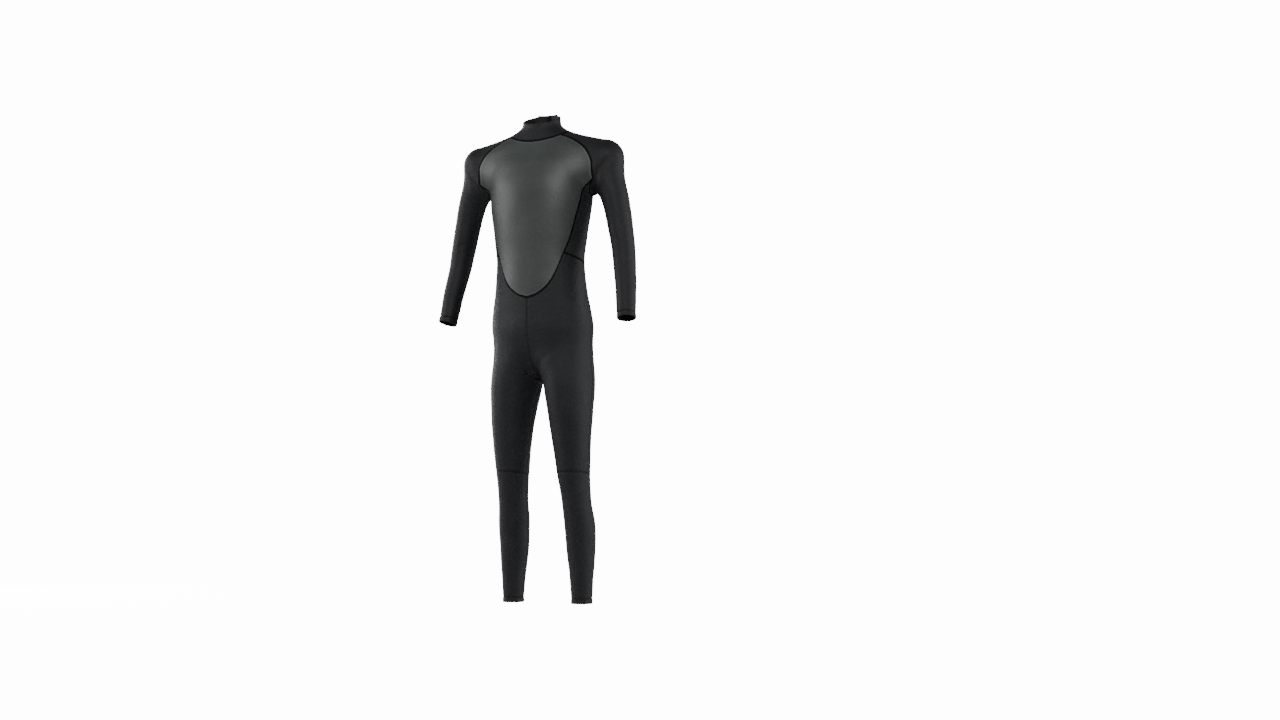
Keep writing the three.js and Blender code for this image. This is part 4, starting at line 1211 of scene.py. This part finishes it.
def band(name, line, width=6.0, rise=-0.12, mirror=False, thread=flat_thread):
    """A crowned ribbon along a seam: its top is rise - 0.24 (2x / width)^2 above the cloth."""
    length = distance(line)[-1]
    fine = even(line, max(int(length / BAND_STEP), 4))
    fine[1:-1] = settle(fine[1:-1], 4)
    normal = outward(fine)
    over = unit(np.cross(unit(np.gradient(fine, axis=0)), normal))
    x = np.linspace(-1, 1, 9)
    ease = np.minimum(np.linspace(0, 1, len(fine)), np.linspace(1, 0, len(fine))) * length
    level = folds(fine)[:, None]
    top = level + rise - 0.24 * x ** 2 - 0.5 * np.exp(-ease)[:, None]
    bottom = level + BAND_FLOOR + 0 * x
    place = fine[:, None] + over[:, None] * (x * width / 2)[None, :, None]
    outer, inner = (place + normal[:, None] * height[..., None] for height in (top, bottom))
    metres = np.linspace(0, length / 1000, len(fine))
    uv = np.stack(np.broadcast_arrays(((x + 1) / 2)[None], metres[:, None]), -1)
    points, faces, uv, _, _ = cloth_arrays(outer, inner, uv, 0 * top)
    obj = build(name, points, faces, [thread], uv, mirror=mirror)
    return place_piece(obj, [])


armhole = join(raglan_front[::-1], raglan_low, raglan_back)
SIDED = [
    ("armhole_seam", armhole, 6.6, -0.1, seam_thread),
    ("dip_seam", side_dip, 6.0, -0.12, seam_thread),
    ("side_seam", join(flank[::-1], hip, thigh), 6.0, -0.12, flat_thread),
    ("waist_seam", waist[2:], 6.0, -0.12, seam_thread),
    ("inner_leg_seam", join(inseam, grids["shin"][:, 0]), 6.0, -0.12, flat_thread),
    ("knee_seam", closed_ring(knee_ring), 6.6, -0.1, flat_thread),
    ("underarm_seam", grids["sleeve"][8 * FINE:, 0], 6.0, -0.12, flat_thread)]
for name, line, width, rise, thread in SIDED:
    for side in "lr":
        band(f"{name}_{side}", line, width, rise, side == "r", thread)
border = join(panel_side[::-1], panel_edge[::-1])
band("chest_seam", np.concatenate([border, mirrored(border)[::-1][1:]]), 8.0, 0.02, thread=seam_thread)
band("front_seam", front_line)
band("seat_seam", seat_line)
band("neck_seam", grids["collar"][0], 6.6, -0.05, thread=seam_thread)
print("seam bands", len(SIDED) * 2 + 4)

# %% [markdown]
# ## Needle stitches
# Beside the hems, the collar rim and the zip run rows of single stitches. A stitch is a tiny
# rounded bar, and a row is one mesh with a copy of it at every step.

# %% Rows of stitches
def stitch_shape():
    """A bar of length 1 and radius 1 with six sides and tapered ends."""
    a = np.arange(6) * np.pi / 3
    x = np.array([-0.5, -0.32, 0.32, 0.5])
    r = np.array([0.3, 1.0, 1.0, 0.3])
    points = np.stack([np.repeat(x, 6), np.outer(r, np.cos(a)).ravel(), np.outer(r, np.sin(a)).ravel()], 1)
    side = quads(4, 6, True)
    ends = np.array([[0, 3, 2, 1], [0, 5, 4, 3], [18, 19, 20, 21], [18, 21, 22, 23]])
    return points, np.concatenate([side, ends])


BAR, BAR_FACES = stitch_shape()


def stitches(name, line, normal, pitch=3.4, radius=0.3, mirror=False, body_name="suit"):
    """Copies of the stitch bar along a line, lying on the cloth."""
    run_at = distance(line)
    count = max(int(run_at[-1] / pitch), 1)
    at = (np.arange(count) + 0.5) * run_at[-1] / count

    def follow(values, places):
        """Values along the line, at distances from its start."""
        return np.stack([np.interp(places, run_at, values[:, k]) for k in range(3)], 1)

    up = unit(follow(normal, at))
    ahead = unit(follow(line, at + 0.5) - follow(line, at - 0.5))
    ways = (ahead, np.cross(up, ahead), up)
    points = follow(line, at)[:, None]
    for way, part in zip(ways, (BAR * [pitch * 0.8, radius, radius]).T):
        points = points + way[:, None] * part[None, :, None]
    faces = copies(BAR_FACES, len(BAR), count)
    obj = build(name, points.reshape(-1, 3), faces, [needle_thread], mirror=mirror)
    return place_piece(obj, [], body_name)


rows_made = 0
for name, ring_points, way, height in HEMS:
    closed = closed_ring(ring_points)
    normal = outward(closed)
    normal = unit(normal - (normal @ way)[..., None] * way)
    for side in "lr":
        for row, depth in enumerate(HEM_ROWS):
            row_line = closed + way * depth + normal * 0.45
            stitches(f"{name}_{side}_stitches_{row}", row_line, normal, mirror=side == "r")
            rows_made += 1
for row, back in enumerate((1, 2)):
    line = mix(grids["collar"][-1], grids["collar"][-2], 1.4 * back / 1.6 + 0.1)
    normal = outward(line)
    stitches(f"collar_rim_stitches_{row}", line + normal * 0.1, normal)
    rows_made += 1
print("rows of stitches", rows_made)

# %% [markdown]
# ## Closure flap
# A soft tab is sewn to the collar on the left and wraps behind it to a patch of loop tape on
# the right. Its edge is bound, so it is thinner at the border than in the middle.

# %% Flap and patches
FLAP_Z, FLAP_H, FLAP_T, PATCH_T, CLEAR = 1448.5, 53.0, 2.4, 1.2, 0.4
FLAP_FROM, FLAP_TO, FLAP_DIP, COLLAR_RADIUS = 146, 226, 9.0, 66


def wrap(deg, up, height, dip=0.0):
    """Points round the back of the collar: angle, height above the flap's middle, distance off the cloth.

    The lower edge dips behind the neck by a bell curve of the angle, to close the slot over the zip.
    """
    bell = dip * np.exp(-(((deg - 181) / 17) ** 2))
    lower, upper = around(deg, FLAP_Z - FLAP_H / 2 - bell), around(deg, FLAP_Z + FLAP_H / 2 + 0 * deg)
    n = gradient(mix(lower, upper, 0.5))
    n[..., 2] = 0
    return mix(lower, upper, (0.5 + up / FLAP_H)[..., None]) + unit(n) * height[..., None]


def tab_grid(start, end, across_steps, rows, half_height, low_face, thickness, edge_roll, dip=0.0):
    """Grids of the outer and inner faces of a tab, thinner towards its border."""
    t = (1 - np.cos(np.pi * np.linspace(0, 1, across_steps + 1))) / 2
    v = np.sin(np.pi * np.linspace(-0.5, 0.5, rows + 1))
    T, W = np.meshgrid(t, v, indexing="ij")
    reach = half_height(T)
    length = np.radians(end - start) * COLLAR_RADIUS
    edge = np.minimum(reach * (1 - np.abs(W)), np.minimum(T, 1 - T) * length)
    roll = edge_roll * np.maximum(1 - edge / 1.8, 0) ** 2
    deg = mix(start, end, T)
    faces = [wrap(deg, W * reach, low_face(T) + h, dip) for h in (thickness - roll, roll * 0.6)]
    uv = np.stack([T * length, W * reach], -1) / 1000
    return faces, uv, edge


def lifted(t):
    """Height of the flap off the cloth: it rises to pass over the patches."""
    return CLEAR + 0.3 + (2 * PATCH_T + 2 * CLEAR) * ramp(t, 0.3, 0.6)


def rounding(t):
    """Half height of the flap, with a round free end."""
    return FLAP_H / 2 * np.sqrt(1 - (np.maximum(t - 0.88, 0) / 0.125) ** 2)


(outer, inner), uv, edge = tab_grid(FLAP_FROM, FLAP_TO, 60, 24, rounding, lifted, FLAP_T, 1.0, FLAP_DIP)
points, faces, uv2, edge2, slot = cloth_arrays(outer, inner, uv, edge)
flap = build("collar_flap_cloth", points, faces, two_faces, uv2, edge2, slot)


def turn_open(obj):
    """Bakes the object's placement into its mesh. The points where the flap is sewn and where it hangs free
    are found, but the flap is not turned.
    """
    sewn, free = around(np.array([148.0, 168.0]), FLAP_Z)
    lowered = [(point - [0, 0, SHOULDER_Z]) / 1000 for point in (sewn, free)]
    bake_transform(obj)


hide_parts("collar_flap")
turn_open(flap)
rim_line = np.concatenate([outer[3:-3, 3], outer[-4, 4:-4], outer[3:-3, -4][::-1]])
rim_normal = unit(rim_line * [1, 1, 0] - [0, AXIS_Y, 0])
rim_row = stitches("collar_flap_stitches", rim_line + rim_normal * 0.05, rim_normal, 3.0, 0.26,
                   body_name=None)
turn_open(rim_row)

hook_top = float(lifted(1.0)) - CLEAR
PATCHES = [("hook_patch", 203, 217, hook_top - PATCH_T, hook_pile, "flap"),
           ("loop_patch", 200, 228, CLEAR, loop_pile, "suit")]
for name, start, end, low, material, rider in PATCHES:
    (outer, inner), uv, edge = tab_grid(start, end, 24, 12, lambda t: FLAP_H / 2 - 5 + 0 * t,
                                        lambda t: low + 0 * t, PATCH_T, 0.4)
    points, faces, uv2, edge2, slot = cloth_arrays(outer, inner, uv, edge)
    obj = build(f"{name}_pile", points, faces, [material, zip_tape], uv2, edge2, slot)
    place_piece(obj, [name], rider)
print("flap and patches")

# %% [markdown]
# ## The back zip
# Two woven tapes carry moulded teeth that mesh in the middle. The zip lies in a slot between
# the back panels and follows a flat arc down the back, so its parts are laid along that arc.

# %% Points on the arc
ZIP_TOP, ZIP_BOTTOM = 1390.0, 952.0
CHAIN_TOP, CHAIN_T, HALF = -0.6, 2.8, 2.5
TAPE_SINK, TAPE_T = 1.6, 1.0
SLIDER_Z = 1366.0


def on_track(x, z, out):
    """Distance across, height on the arc and distance out from it."""
    a = np.arcsin((z - TRACK_Z) / TRACK_R)
    return vec(x, TRACK_Y + (TRACK_R + out) * np.cos(a), TRACK_Z + (TRACK_R + out) * np.sin(a))


print("arc at the waist", on_track(0.0, 956.0, 0.0).round(1))

# %% Tapes with a corded edge
for side, sign in (("l", 1), ("r", -1)):
    x = np.array([2.9, 3.0, 3.4, 3.9, 4.3, 4.8, 6.0, 7.5, 9.0, 10.3])
    top = -TAPE_SINK + 0.55 * np.exp(-(((x - 3.8) / 0.55) ** 2)) - 0.3 * (x > 10)
    z = np.linspace(ZIP_BOTTOM, ZIP_TOP, 90)
    X, Zg = np.meshgrid(x * sign, z)
    Top = np.broadcast_to(top, X.shape)
    outer, inner = on_track(X, Zg, Top), on_track(X, Zg, 0 * Top - TAPE_SINK - TAPE_T)
    uv = np.stack([X, Zg], -1) / 1000
    points, faces, uv2, _, slot = cloth_arrays(outer, inner, uv, 0 * X)
    tape = build(f"zip_tape_{side}_woven", points, faces, [zip_tape, zip_tape], uv2)
    place_piece(tape, [f"zip_tape_{side}"])
print("tapes")


# %% Teeth
def tooth_shape():
    """A moulded tooth: a broad root, a neck and a round head, chamfered above and below."""
    outline = np.array([[2.5, -0.85], [1.2, -0.62], [0.5, -0.5], [-0.1, -0.74], [-0.75, -0.42],
                        [-0.75, 0.42], [-0.1, 0.74], [0.5, 0.5], [1.2, 0.62], [2.5, 0.85]])
    centre = outline.mean(0)
    levels = [(0.82, -CHAIN_T / 2), (1.0, -CHAIN_T / 2 + 0.3), (1.0, CHAIN_T / 2 - 0.3), (0.82, CHAIN_T / 2)]
    rings = [np.column_stack([centre + (outline - centre) * s, np.full(10, h)]) for s, h in levels]
    points = np.concatenate(rings)
    caps = [[0, 9, 8, 1], [1, 8, 7, 2], [2, 7, 6, 3], [3, 6, 5, 4]]
    top = [[30 + i for i in row[::-1]] for row in caps]
    return points, np.concatenate([quads(4, 10, True), np.array(caps), np.array(top)])


TOOTH, TOOTH_FACES = tooth_shape()
PITCH = 2.7
count = int((ZIP_TOP - 8 - ZIP_BOTTOM - 10) / PITCH)
for side, sign, offset in (("l", 1, 0.0), ("r", -1, PITCH / 2)):
    z = ZIP_BOTTOM + 10 + offset + PITCH * np.arange(count)
    out = CHAIN_TOP - CHAIN_T / 2 + TOOTH[None, :, 2]
    points = on_track(sign * TOOTH[None, :, 0], z[:, None] + TOOTH[None, :, 1], out)
    faces = copies(TOOTH_FACES, len(TOOTH), count)
    obj = build(f"zip_teeth_{side}_moulded", points.reshape(-1, 3), faces, [tooth_plastic], sharp=40)
    place_piece(obj, [f"zip_teeth_{side}"])
print("teeth", count, "a side")


# %% Stops
def rounded_block(x, z, out, bend=4.0, n=13):
    """A block with rounded edges, laid on the arc: superellipsoid |x|^n + |y|^n + |z|^n = 1."""
    u = np.linspace(-np.pi, np.pi, 2 * n)[:-1]
    v = np.linspace(-np.pi / 2, np.pi / 2, n)
    U, W = np.meshgrid(u, v)
    power = lambda c: np.sign(c) * np.abs(c) ** (2 / bend)
    X, Y, Zg = power(np.cos(W)) * power(np.cos(U)), power(np.cos(W)) * power(np.sin(U)), power(np.sin(W))
    places = [mix(low, high, (part + 1) / 2) for (low, high), part in zip((x, z, out), (X, Y, Zg))]
    points = on_track(*places).reshape(-1, 3)
    cols = len(u)
    faces = quads(n, cols, True)
    faces = faces[cols:-cols]
    points[:cols], points[-cols:] = points[:cols].mean(0), points[-cols:].mean(0)
    poles = [[0, cols + (i + 1) % cols, cols + i, cols + i] for i in range(cols)]
    last = (n - 1) * cols
    below = last - cols
    poles += [[last, below + i, below + (i + 1) % cols, below + (i + 1) % cols] for i in range(cols)]
    keep = np.concatenate([[0], np.arange(cols, last), [last]])
    index = np.full(n * cols, 0)
    index[keep] = np.arange(len(keep))
    return points[keep], index[np.concatenate([faces, np.array(poles)])]


STOPS = [("top_stop_l", (0.3, HALF), (ZIP_TOP - 6.4, ZIP_TOP - 1)),
         ("top_stop_r", (-HALF, -0.3), (ZIP_TOP - 6.4, ZIP_TOP - 1)),
         ("bottom_stop", (-HALF, HALF), (ZIP_BOTTOM, ZIP_BOTTOM + 8.6))]
for name, x, z in STOPS:
    points, faces = rounded_block(x, z, (CHAIN_TOP - CHAIN_T, CHAIN_TOP + 0.5))
    place_piece(build(f"{name}_block", points, faces, [black_lacquer]), [name])
print("stops")

# %% Backing behind the zip and the patch below it
z = np.linspace(ZIP_BOTTOM + 6, FLAP_Z - 22, 92)
half = 38 - 24 * ramp(z, ZIP_TOP - 60, ZIP_TOP + 8)
backing = on_back(half[:, None] * np.linspace(1, -1, 30)[None], z[:, None])
obj, size, area = cloth("zip_backing_cloth", backing, [inner_lining, inner_lining], 2.0,
                        CHAIN_TOP - CHAIN_T - 0.8, fold=False)
place_piece(obj, ["zip_backing"])

z = np.linspace(WAIST_BACK_Z, ZIP_BOTTOM - 1, 24)
x = np.linspace(ZIP_SLOT / 2 - 0.25, 0.25 - ZIP_SLOT / 2, 14)
tongue = on_back(x[None], z[:, None])
obj, size, area = cloth("zip_end_patch_cloth", tongue, [hem_jersey, inner_lining], fold=False)
place_piece(obj, ["zip_end_patch"])
for side, sign in (("l", 1), ("r", -1)):
    for row, x in enumerate((ZIP_SLOT / 2 + 2.6, ZIP_SLOT / 2 + 6.2)):
        z = np.linspace(WAIST_BACK_Z + 6, 1398, 160)
        line = on_back(sign * x + 0 * z, z)
        normal = outward(line)
        dip = 0.75 * math.exp(-(((x - ZIP_SLOT / 2) / 3.2) ** 2))
        stitches(f"zip_edge_{side}_stitches_{row}", line + normal * (0.08 - dip), normal)
bar_z = np.linspace(ZIP_BOTTOM - 9, ZIP_BOTTOM - 4, 4)
for i, zz in enumerate(bar_z):
    x = np.linspace(-9.5, 9.5, 12)
    line = on_back(x, zz + 0 * x)
    normal = outward(line)
    stitches(f"zip_bar_tack_{i}", line + normal * 0.05, normal, 1.6, 0.32)
print("backing, end patch and edge stitches")

# %% [markdown]
# ## Slider, tab and strap
# The slider is a lacquered plate with turned-down sides and two lugs. The tab hangs from a
# pin between the lugs, and a long flat strap is looped through the tab, so that the wearer
# can reach it. The strap is webbing: a flat cord that hangs by its own weight.

# %% Slider
SW, ST, SL = 11.0, 2.0, 15.0
RAIL_W, RAIL_H = 1.4, 3.2
PLATE_LOW, LIP = CHAIN_TOP + CLEAR, -TAPE_SINK + CLEAR
LUG, PIN_R = HALF - 0.1, 0.55
PIVOT_UP, PIVOT_OUT = 3.0, PLATE_LOW + ST + RAIL_H / 2 + 0.4
tilt = math.asin((SLIDER_Z - TRACK_Z) / TRACK_R)
seat = on_track(0.0, SLIDER_Z, 0.0)


def from_slider(p):
    """From the slider's own axes (across, out, up) to the suit's."""
    c, s = math.cos(tilt), math.sin(tilt)
    p = np.asarray(p, float)
    return seat + np.stack([p[..., 0], p[..., 1] * c - p[..., 2] * s, p[..., 1] * s + p[..., 2] * c], -1)


def carried(profile, rows):
    """A closed profile (x, out) carried along the slider.

    Each row gives a height, the side scale and the drop of the top.
    """
    upper = profile[:, 1] > PLATE_LOW + 0.1
    rings = [np.column_stack([profile[:, 0] * s, profile[:, 1] - drop * upper, np.full(len(profile), z)])
             for z, s, drop in rows]
    return capped(np.stack(rings))


half = np.array([
    [0.0, PLATE_LOW], [HALF + 0.6, PLATE_LOW], [HALF + 0.6, LIP], [SW / 2 - 0.25, LIP], [SW / 2, LIP + 0.25],
    [SW / 2, PLATE_LOW + ST * 0.55], [SW / 2 - 0.35, PLATE_LOW + ST * 0.85], [SW / 2 - 1.0, PLATE_LOW + ST],
    [0.0, PLATE_LOW + ST]])
profile = np.concatenate([half, (half * [-1, 1])[::-1][1:-1]])
z = np.array([-1.0, -0.97, -0.9, -0.6, -0.2, 0.2, 0.6, 0.9, 0.97, 1.0]) * SL / 2
wide = np.array([0.86, 0.9, 0.93, 0.95, 0.97, 0.99, 1.0, 1.0, 0.98, 0.94])
drop = np.array([0.7, 0.35, 0.12, 0.0, 0.0, 0.0, 0.0, 0.12, 0.35, 0.7])
points, faces = carried(profile, list(zip(z, wide, drop)))
plate = build("zip_slider_plate", from_slider(points), faces, [black_lacquer], sharp=38)
place_piece(plate, ["zip_slider"], "slider")


def slab(outline, x0, x1, chamfer=0.25):
    """An outline in the plane of out and up, carried across from x0 to x1 with chamfered edges."""
    outline = np.asarray(outline, float)
    centre = outline.mean(0)
    size = np.abs(outline - centre).max()
    steps = [(x0, 1 - chamfer / size), (x0 + chamfer, 1.0), (x1 - chamfer, 1.0), (x1, 1 - chamfer / size)]
    rings = [np.column_stack([np.full(len(outline), x), centre + (outline - centre) * s]) for x, s in steps]
    return capped(np.stack(rings))


top_of_plate = PLATE_LOW + ST - 0.1
a = np.radians(np.linspace(0, 180, 13))
bow = np.stack([top_of_plate + 0.6 + (RAIL_H - 0.5) * np.sin(a), 1.6 + (SL / 2 - 3.4) * np.cos(a)], 1)
arch = np.concatenate([[[top_of_plate, SL / 2 - 1.2]], bow, [[top_of_plate, 3.2 - SL / 2]]])
for side, sign in (("l", 1), ("r", -1)):
    x0, x1 = sorted((sign * LUG, sign * (LUG + RAIL_W)))
    points, faces = slab(arch, x0, x1)
    lug = build(f"slider_lug_{side}", from_slider(points), faces, [black_lacquer], sharp=50)
    place_piece(lug, [], "slider")
a = np.linspace(0, 2 * np.pi, 17)[:-1]
circle = np.stack([PIVOT_OUT + PIN_R * np.cos(a), PIVOT_UP + PIN_R * np.sin(a)], 1)
points, faces = slab(circle, -LUG - 0.5, LUG + 0.5, 0.1)
pin = build("slider_pin", from_slider(points), faces, [black_lacquer], sharp=50)
place_piece(pin, [], "slider")
print("slider at", seat.round(1))

# %% Pull tab
TW, TT, TL = 7.0, 1.8, 34.0


def corner(x, z, r, start, end):
    """Points of a round corner between two angles in degrees."""
    return [(x + r * math.cos(a), z + r * math.sin(a)) for a in np.radians(np.linspace(start, end, 5))]


def tab_plate():
    """The outline of a long tab with a narrow head and round corners, and of the slot in it."""
    neck = LUG - CLEAR
    right = [(0.0, 1.2), *corner(neck - 1.0, 0.2, 1.0, 90, 0), (neck, -4.0), (neck, -8.0), (neck, -12.4),
             (neck + 0.4, -13.6), (TW / 2 - 0.3, -15.0), (TW / 2, -16.4), (TW / 2, -22.0), (TW / 2, -28.0),
             *corner(TW / 2 - 2.2, 2.2 - TL, 2.2, 0, -90), (0.0, -TL)]
    right = np.array(right)
    outline = np.concatenate([right, (right * [-1, 1])[::-1][1:-1]])
    z0, z1, w, r = 3 - TL, 5.5 - TL, 2.3, 0.8
    hole = [*corner(w - r, z1 - r, r, 90, 0), *corner(w - r, z0 + r, r, 0, -90),
            *corner(r - w, z0 + r, r, -90, -180), *corner(r - w, z1 - r, r, 180, 90)]
    return outline, np.array(hole)


outline, hole = tab_plate()
curve_data = bpy.data.curves.new("pull_tab_outline", "CURVE")
curve_data.dimensions = "2D"
curve_data.fill_mode = "BOTH"
curve_data.extrude = (TT / 2 - 0.3) / 1000
curve_data.bevel_depth = 0.0003
curve_data.bevel_resolution = 2
curve_data.offset = -0.0003
for loop in (outline, hole):
    spline = curve_data.splines.new("POLY")
    spline.points.add(len(loop) - 1)
    co = np.column_stack([loop / 1000, np.zeros(len(loop)), np.ones(len(loop))])
    spline.points.foreach_set("co", co.ravel())
    spline.use_cyclic_u = True
flat_tab = bpy.data.objects.new("pull_tab_flat", curve_data)
bpy.context.scene.collection.objects.link(flat_tab)
bpy.context.view_layer.update()
tab_mesh = bpy.data.meshes.new_from_object(flat_tab.evaluated_get(bpy.context.evaluated_depsgraph_get()))
bpy.data.objects.remove(flat_tab)
co = np.empty(len(tab_mesh.vertices) * 3, np.float32)
tab_mesh.vertices.foreach_get("co", co)
co = co.reshape(-1, 3).astype(float) * 1000
local = np.stack([co[:, 0], PIVOT_OUT - co[:, 2], PIVOT_UP + co[:, 1]], 1)
placed = (from_slider(local) - [0, 0, SHOULDER_Z]) / 1000
tab_mesh.vertices.foreach_set("co", placed.ravel().astype(np.float32))
tab_mesh.materials.clear()
tab_mesh.materials.append(black_lacquer)
tab_mesh.shade_smooth()
tab_mesh.set_sharp_from_angle(angle=math.radians(40))
tab = bpy.data.objects.new("pull_tab_plate", tab_mesh)
bpy.context.scene.collection.objects.link(tab)
place_piece(tab, ["pull_tab"], "tab")
print("tab", len(tab_mesh.polygons), "faces")

# %% Strap
STRAP_W, STRAP_T, STRAP_END_Z, STRAP_STEPS = 9.0, 1.6, 826.0, 150
strap_top = from_slider([0.0, PIVOT_OUT, PIVOT_UP - TL - CLEAR])
t = np.linspace(0, 1, 27)
z = mix(strap_top[2], STRAP_END_Z, t)
x = -20 * ramp(t, 0.1, 1.1)
lying = on_back(x, z)[:, 1] + mix(PIVOT_OUT, 2.2, ramp(t, 0, 0.25))
lying[0] = strap_top[1]
hang = np.maximum.accumulate(lying)
centre = smooth_line(vec(x, hang, z), STRAP_STEPS)
along = unit(np.gradient(centre, axis=0))
over = unit(np.cross(along, [0.0, 1.0, 0.0]))
out_way = np.cross(over, along)
if out_way[:, 1].mean() < 0:
    out_way = -out_way
run_at = np.linspace(0, 1, STRAP_STEPS + 1)
tip = np.sqrt(np.maximum(1 - ((run_at - 0.975) / 0.0262) ** 2, 0.02))
width = STRAP_W / 2 * np.where(run_at > 0.975, tip, 1.0)
width *= 0.62 + 0.38 * ramp(run_at, 0.0, 0.03)
a = np.radians(np.arange(20) * 18.0)
cx = np.sign(np.cos(a)) * np.abs(np.cos(a)) ** 0.35
cy = np.sign(np.sin(a)) * np.abs(np.sin(a)) ** 0.5
rings = (centre[:, None] + over[:, None] * (cx[None] * width[:, None])[..., None]
         + out_way[:, None] * (cy * STRAP_T / 2)[None, :, None])
length = float(distance(centre)[-1]) / 1000
uv = np.stack(np.broadcast_arrays((cx * STRAP_W / 2000)[None], (run_at * length)[:, None]), -1).reshape(-1, 2)
uv = np.concatenate([uv, [[0, 0]], [[0, length]]])
points, faces = capped(rings)
strap = build("pull_strap_webbing", points, faces, [webbing], uv)
place_piece(strap, ["pull_strap"], "strap")

bar_middle = np.array([PIVOT_OUT, PIVOT_UP - TL + 1.5])
a = np.linspace(0, 2 * np.pi, 33)[:-1]
core = np.stack([bar_middle[0] + 1.62 * np.cos(a), bar_middle[1] - 0.25 + 2.15 * np.sin(a)], 1)
edge_way = unit(np.stack([np.cos(a) * 2.15, np.sin(a) * 1.62], 1))
b = np.radians(np.arange(12) * 30.0)
bx = np.sign(np.cos(b)) * np.abs(np.cos(b)) ** 0.4 * 2.0
bo = np.sign(np.sin(b)) * np.abs(np.sin(b)) ** 0.6 * 0.4
yz = core[:, None] + edge_way[:, None] * bo[None, :, None]
loop_points = np.concatenate([np.broadcast_to(bx[None, :, None], (32, 12, 1)), yz], -1).reshape(-1, 3)
uv = np.stack(np.broadcast_arrays((bx / 1000)[None], np.linspace(0, 0.012, 32)[:, None]), -1).reshape(-1, 2)
loop = build("pull_strap_loop", from_slider(loop_points), wheel(32, 12), [webbing], uv)
place_piece(loop, [], "strap")
print("strap", round(length, 3), "m long")
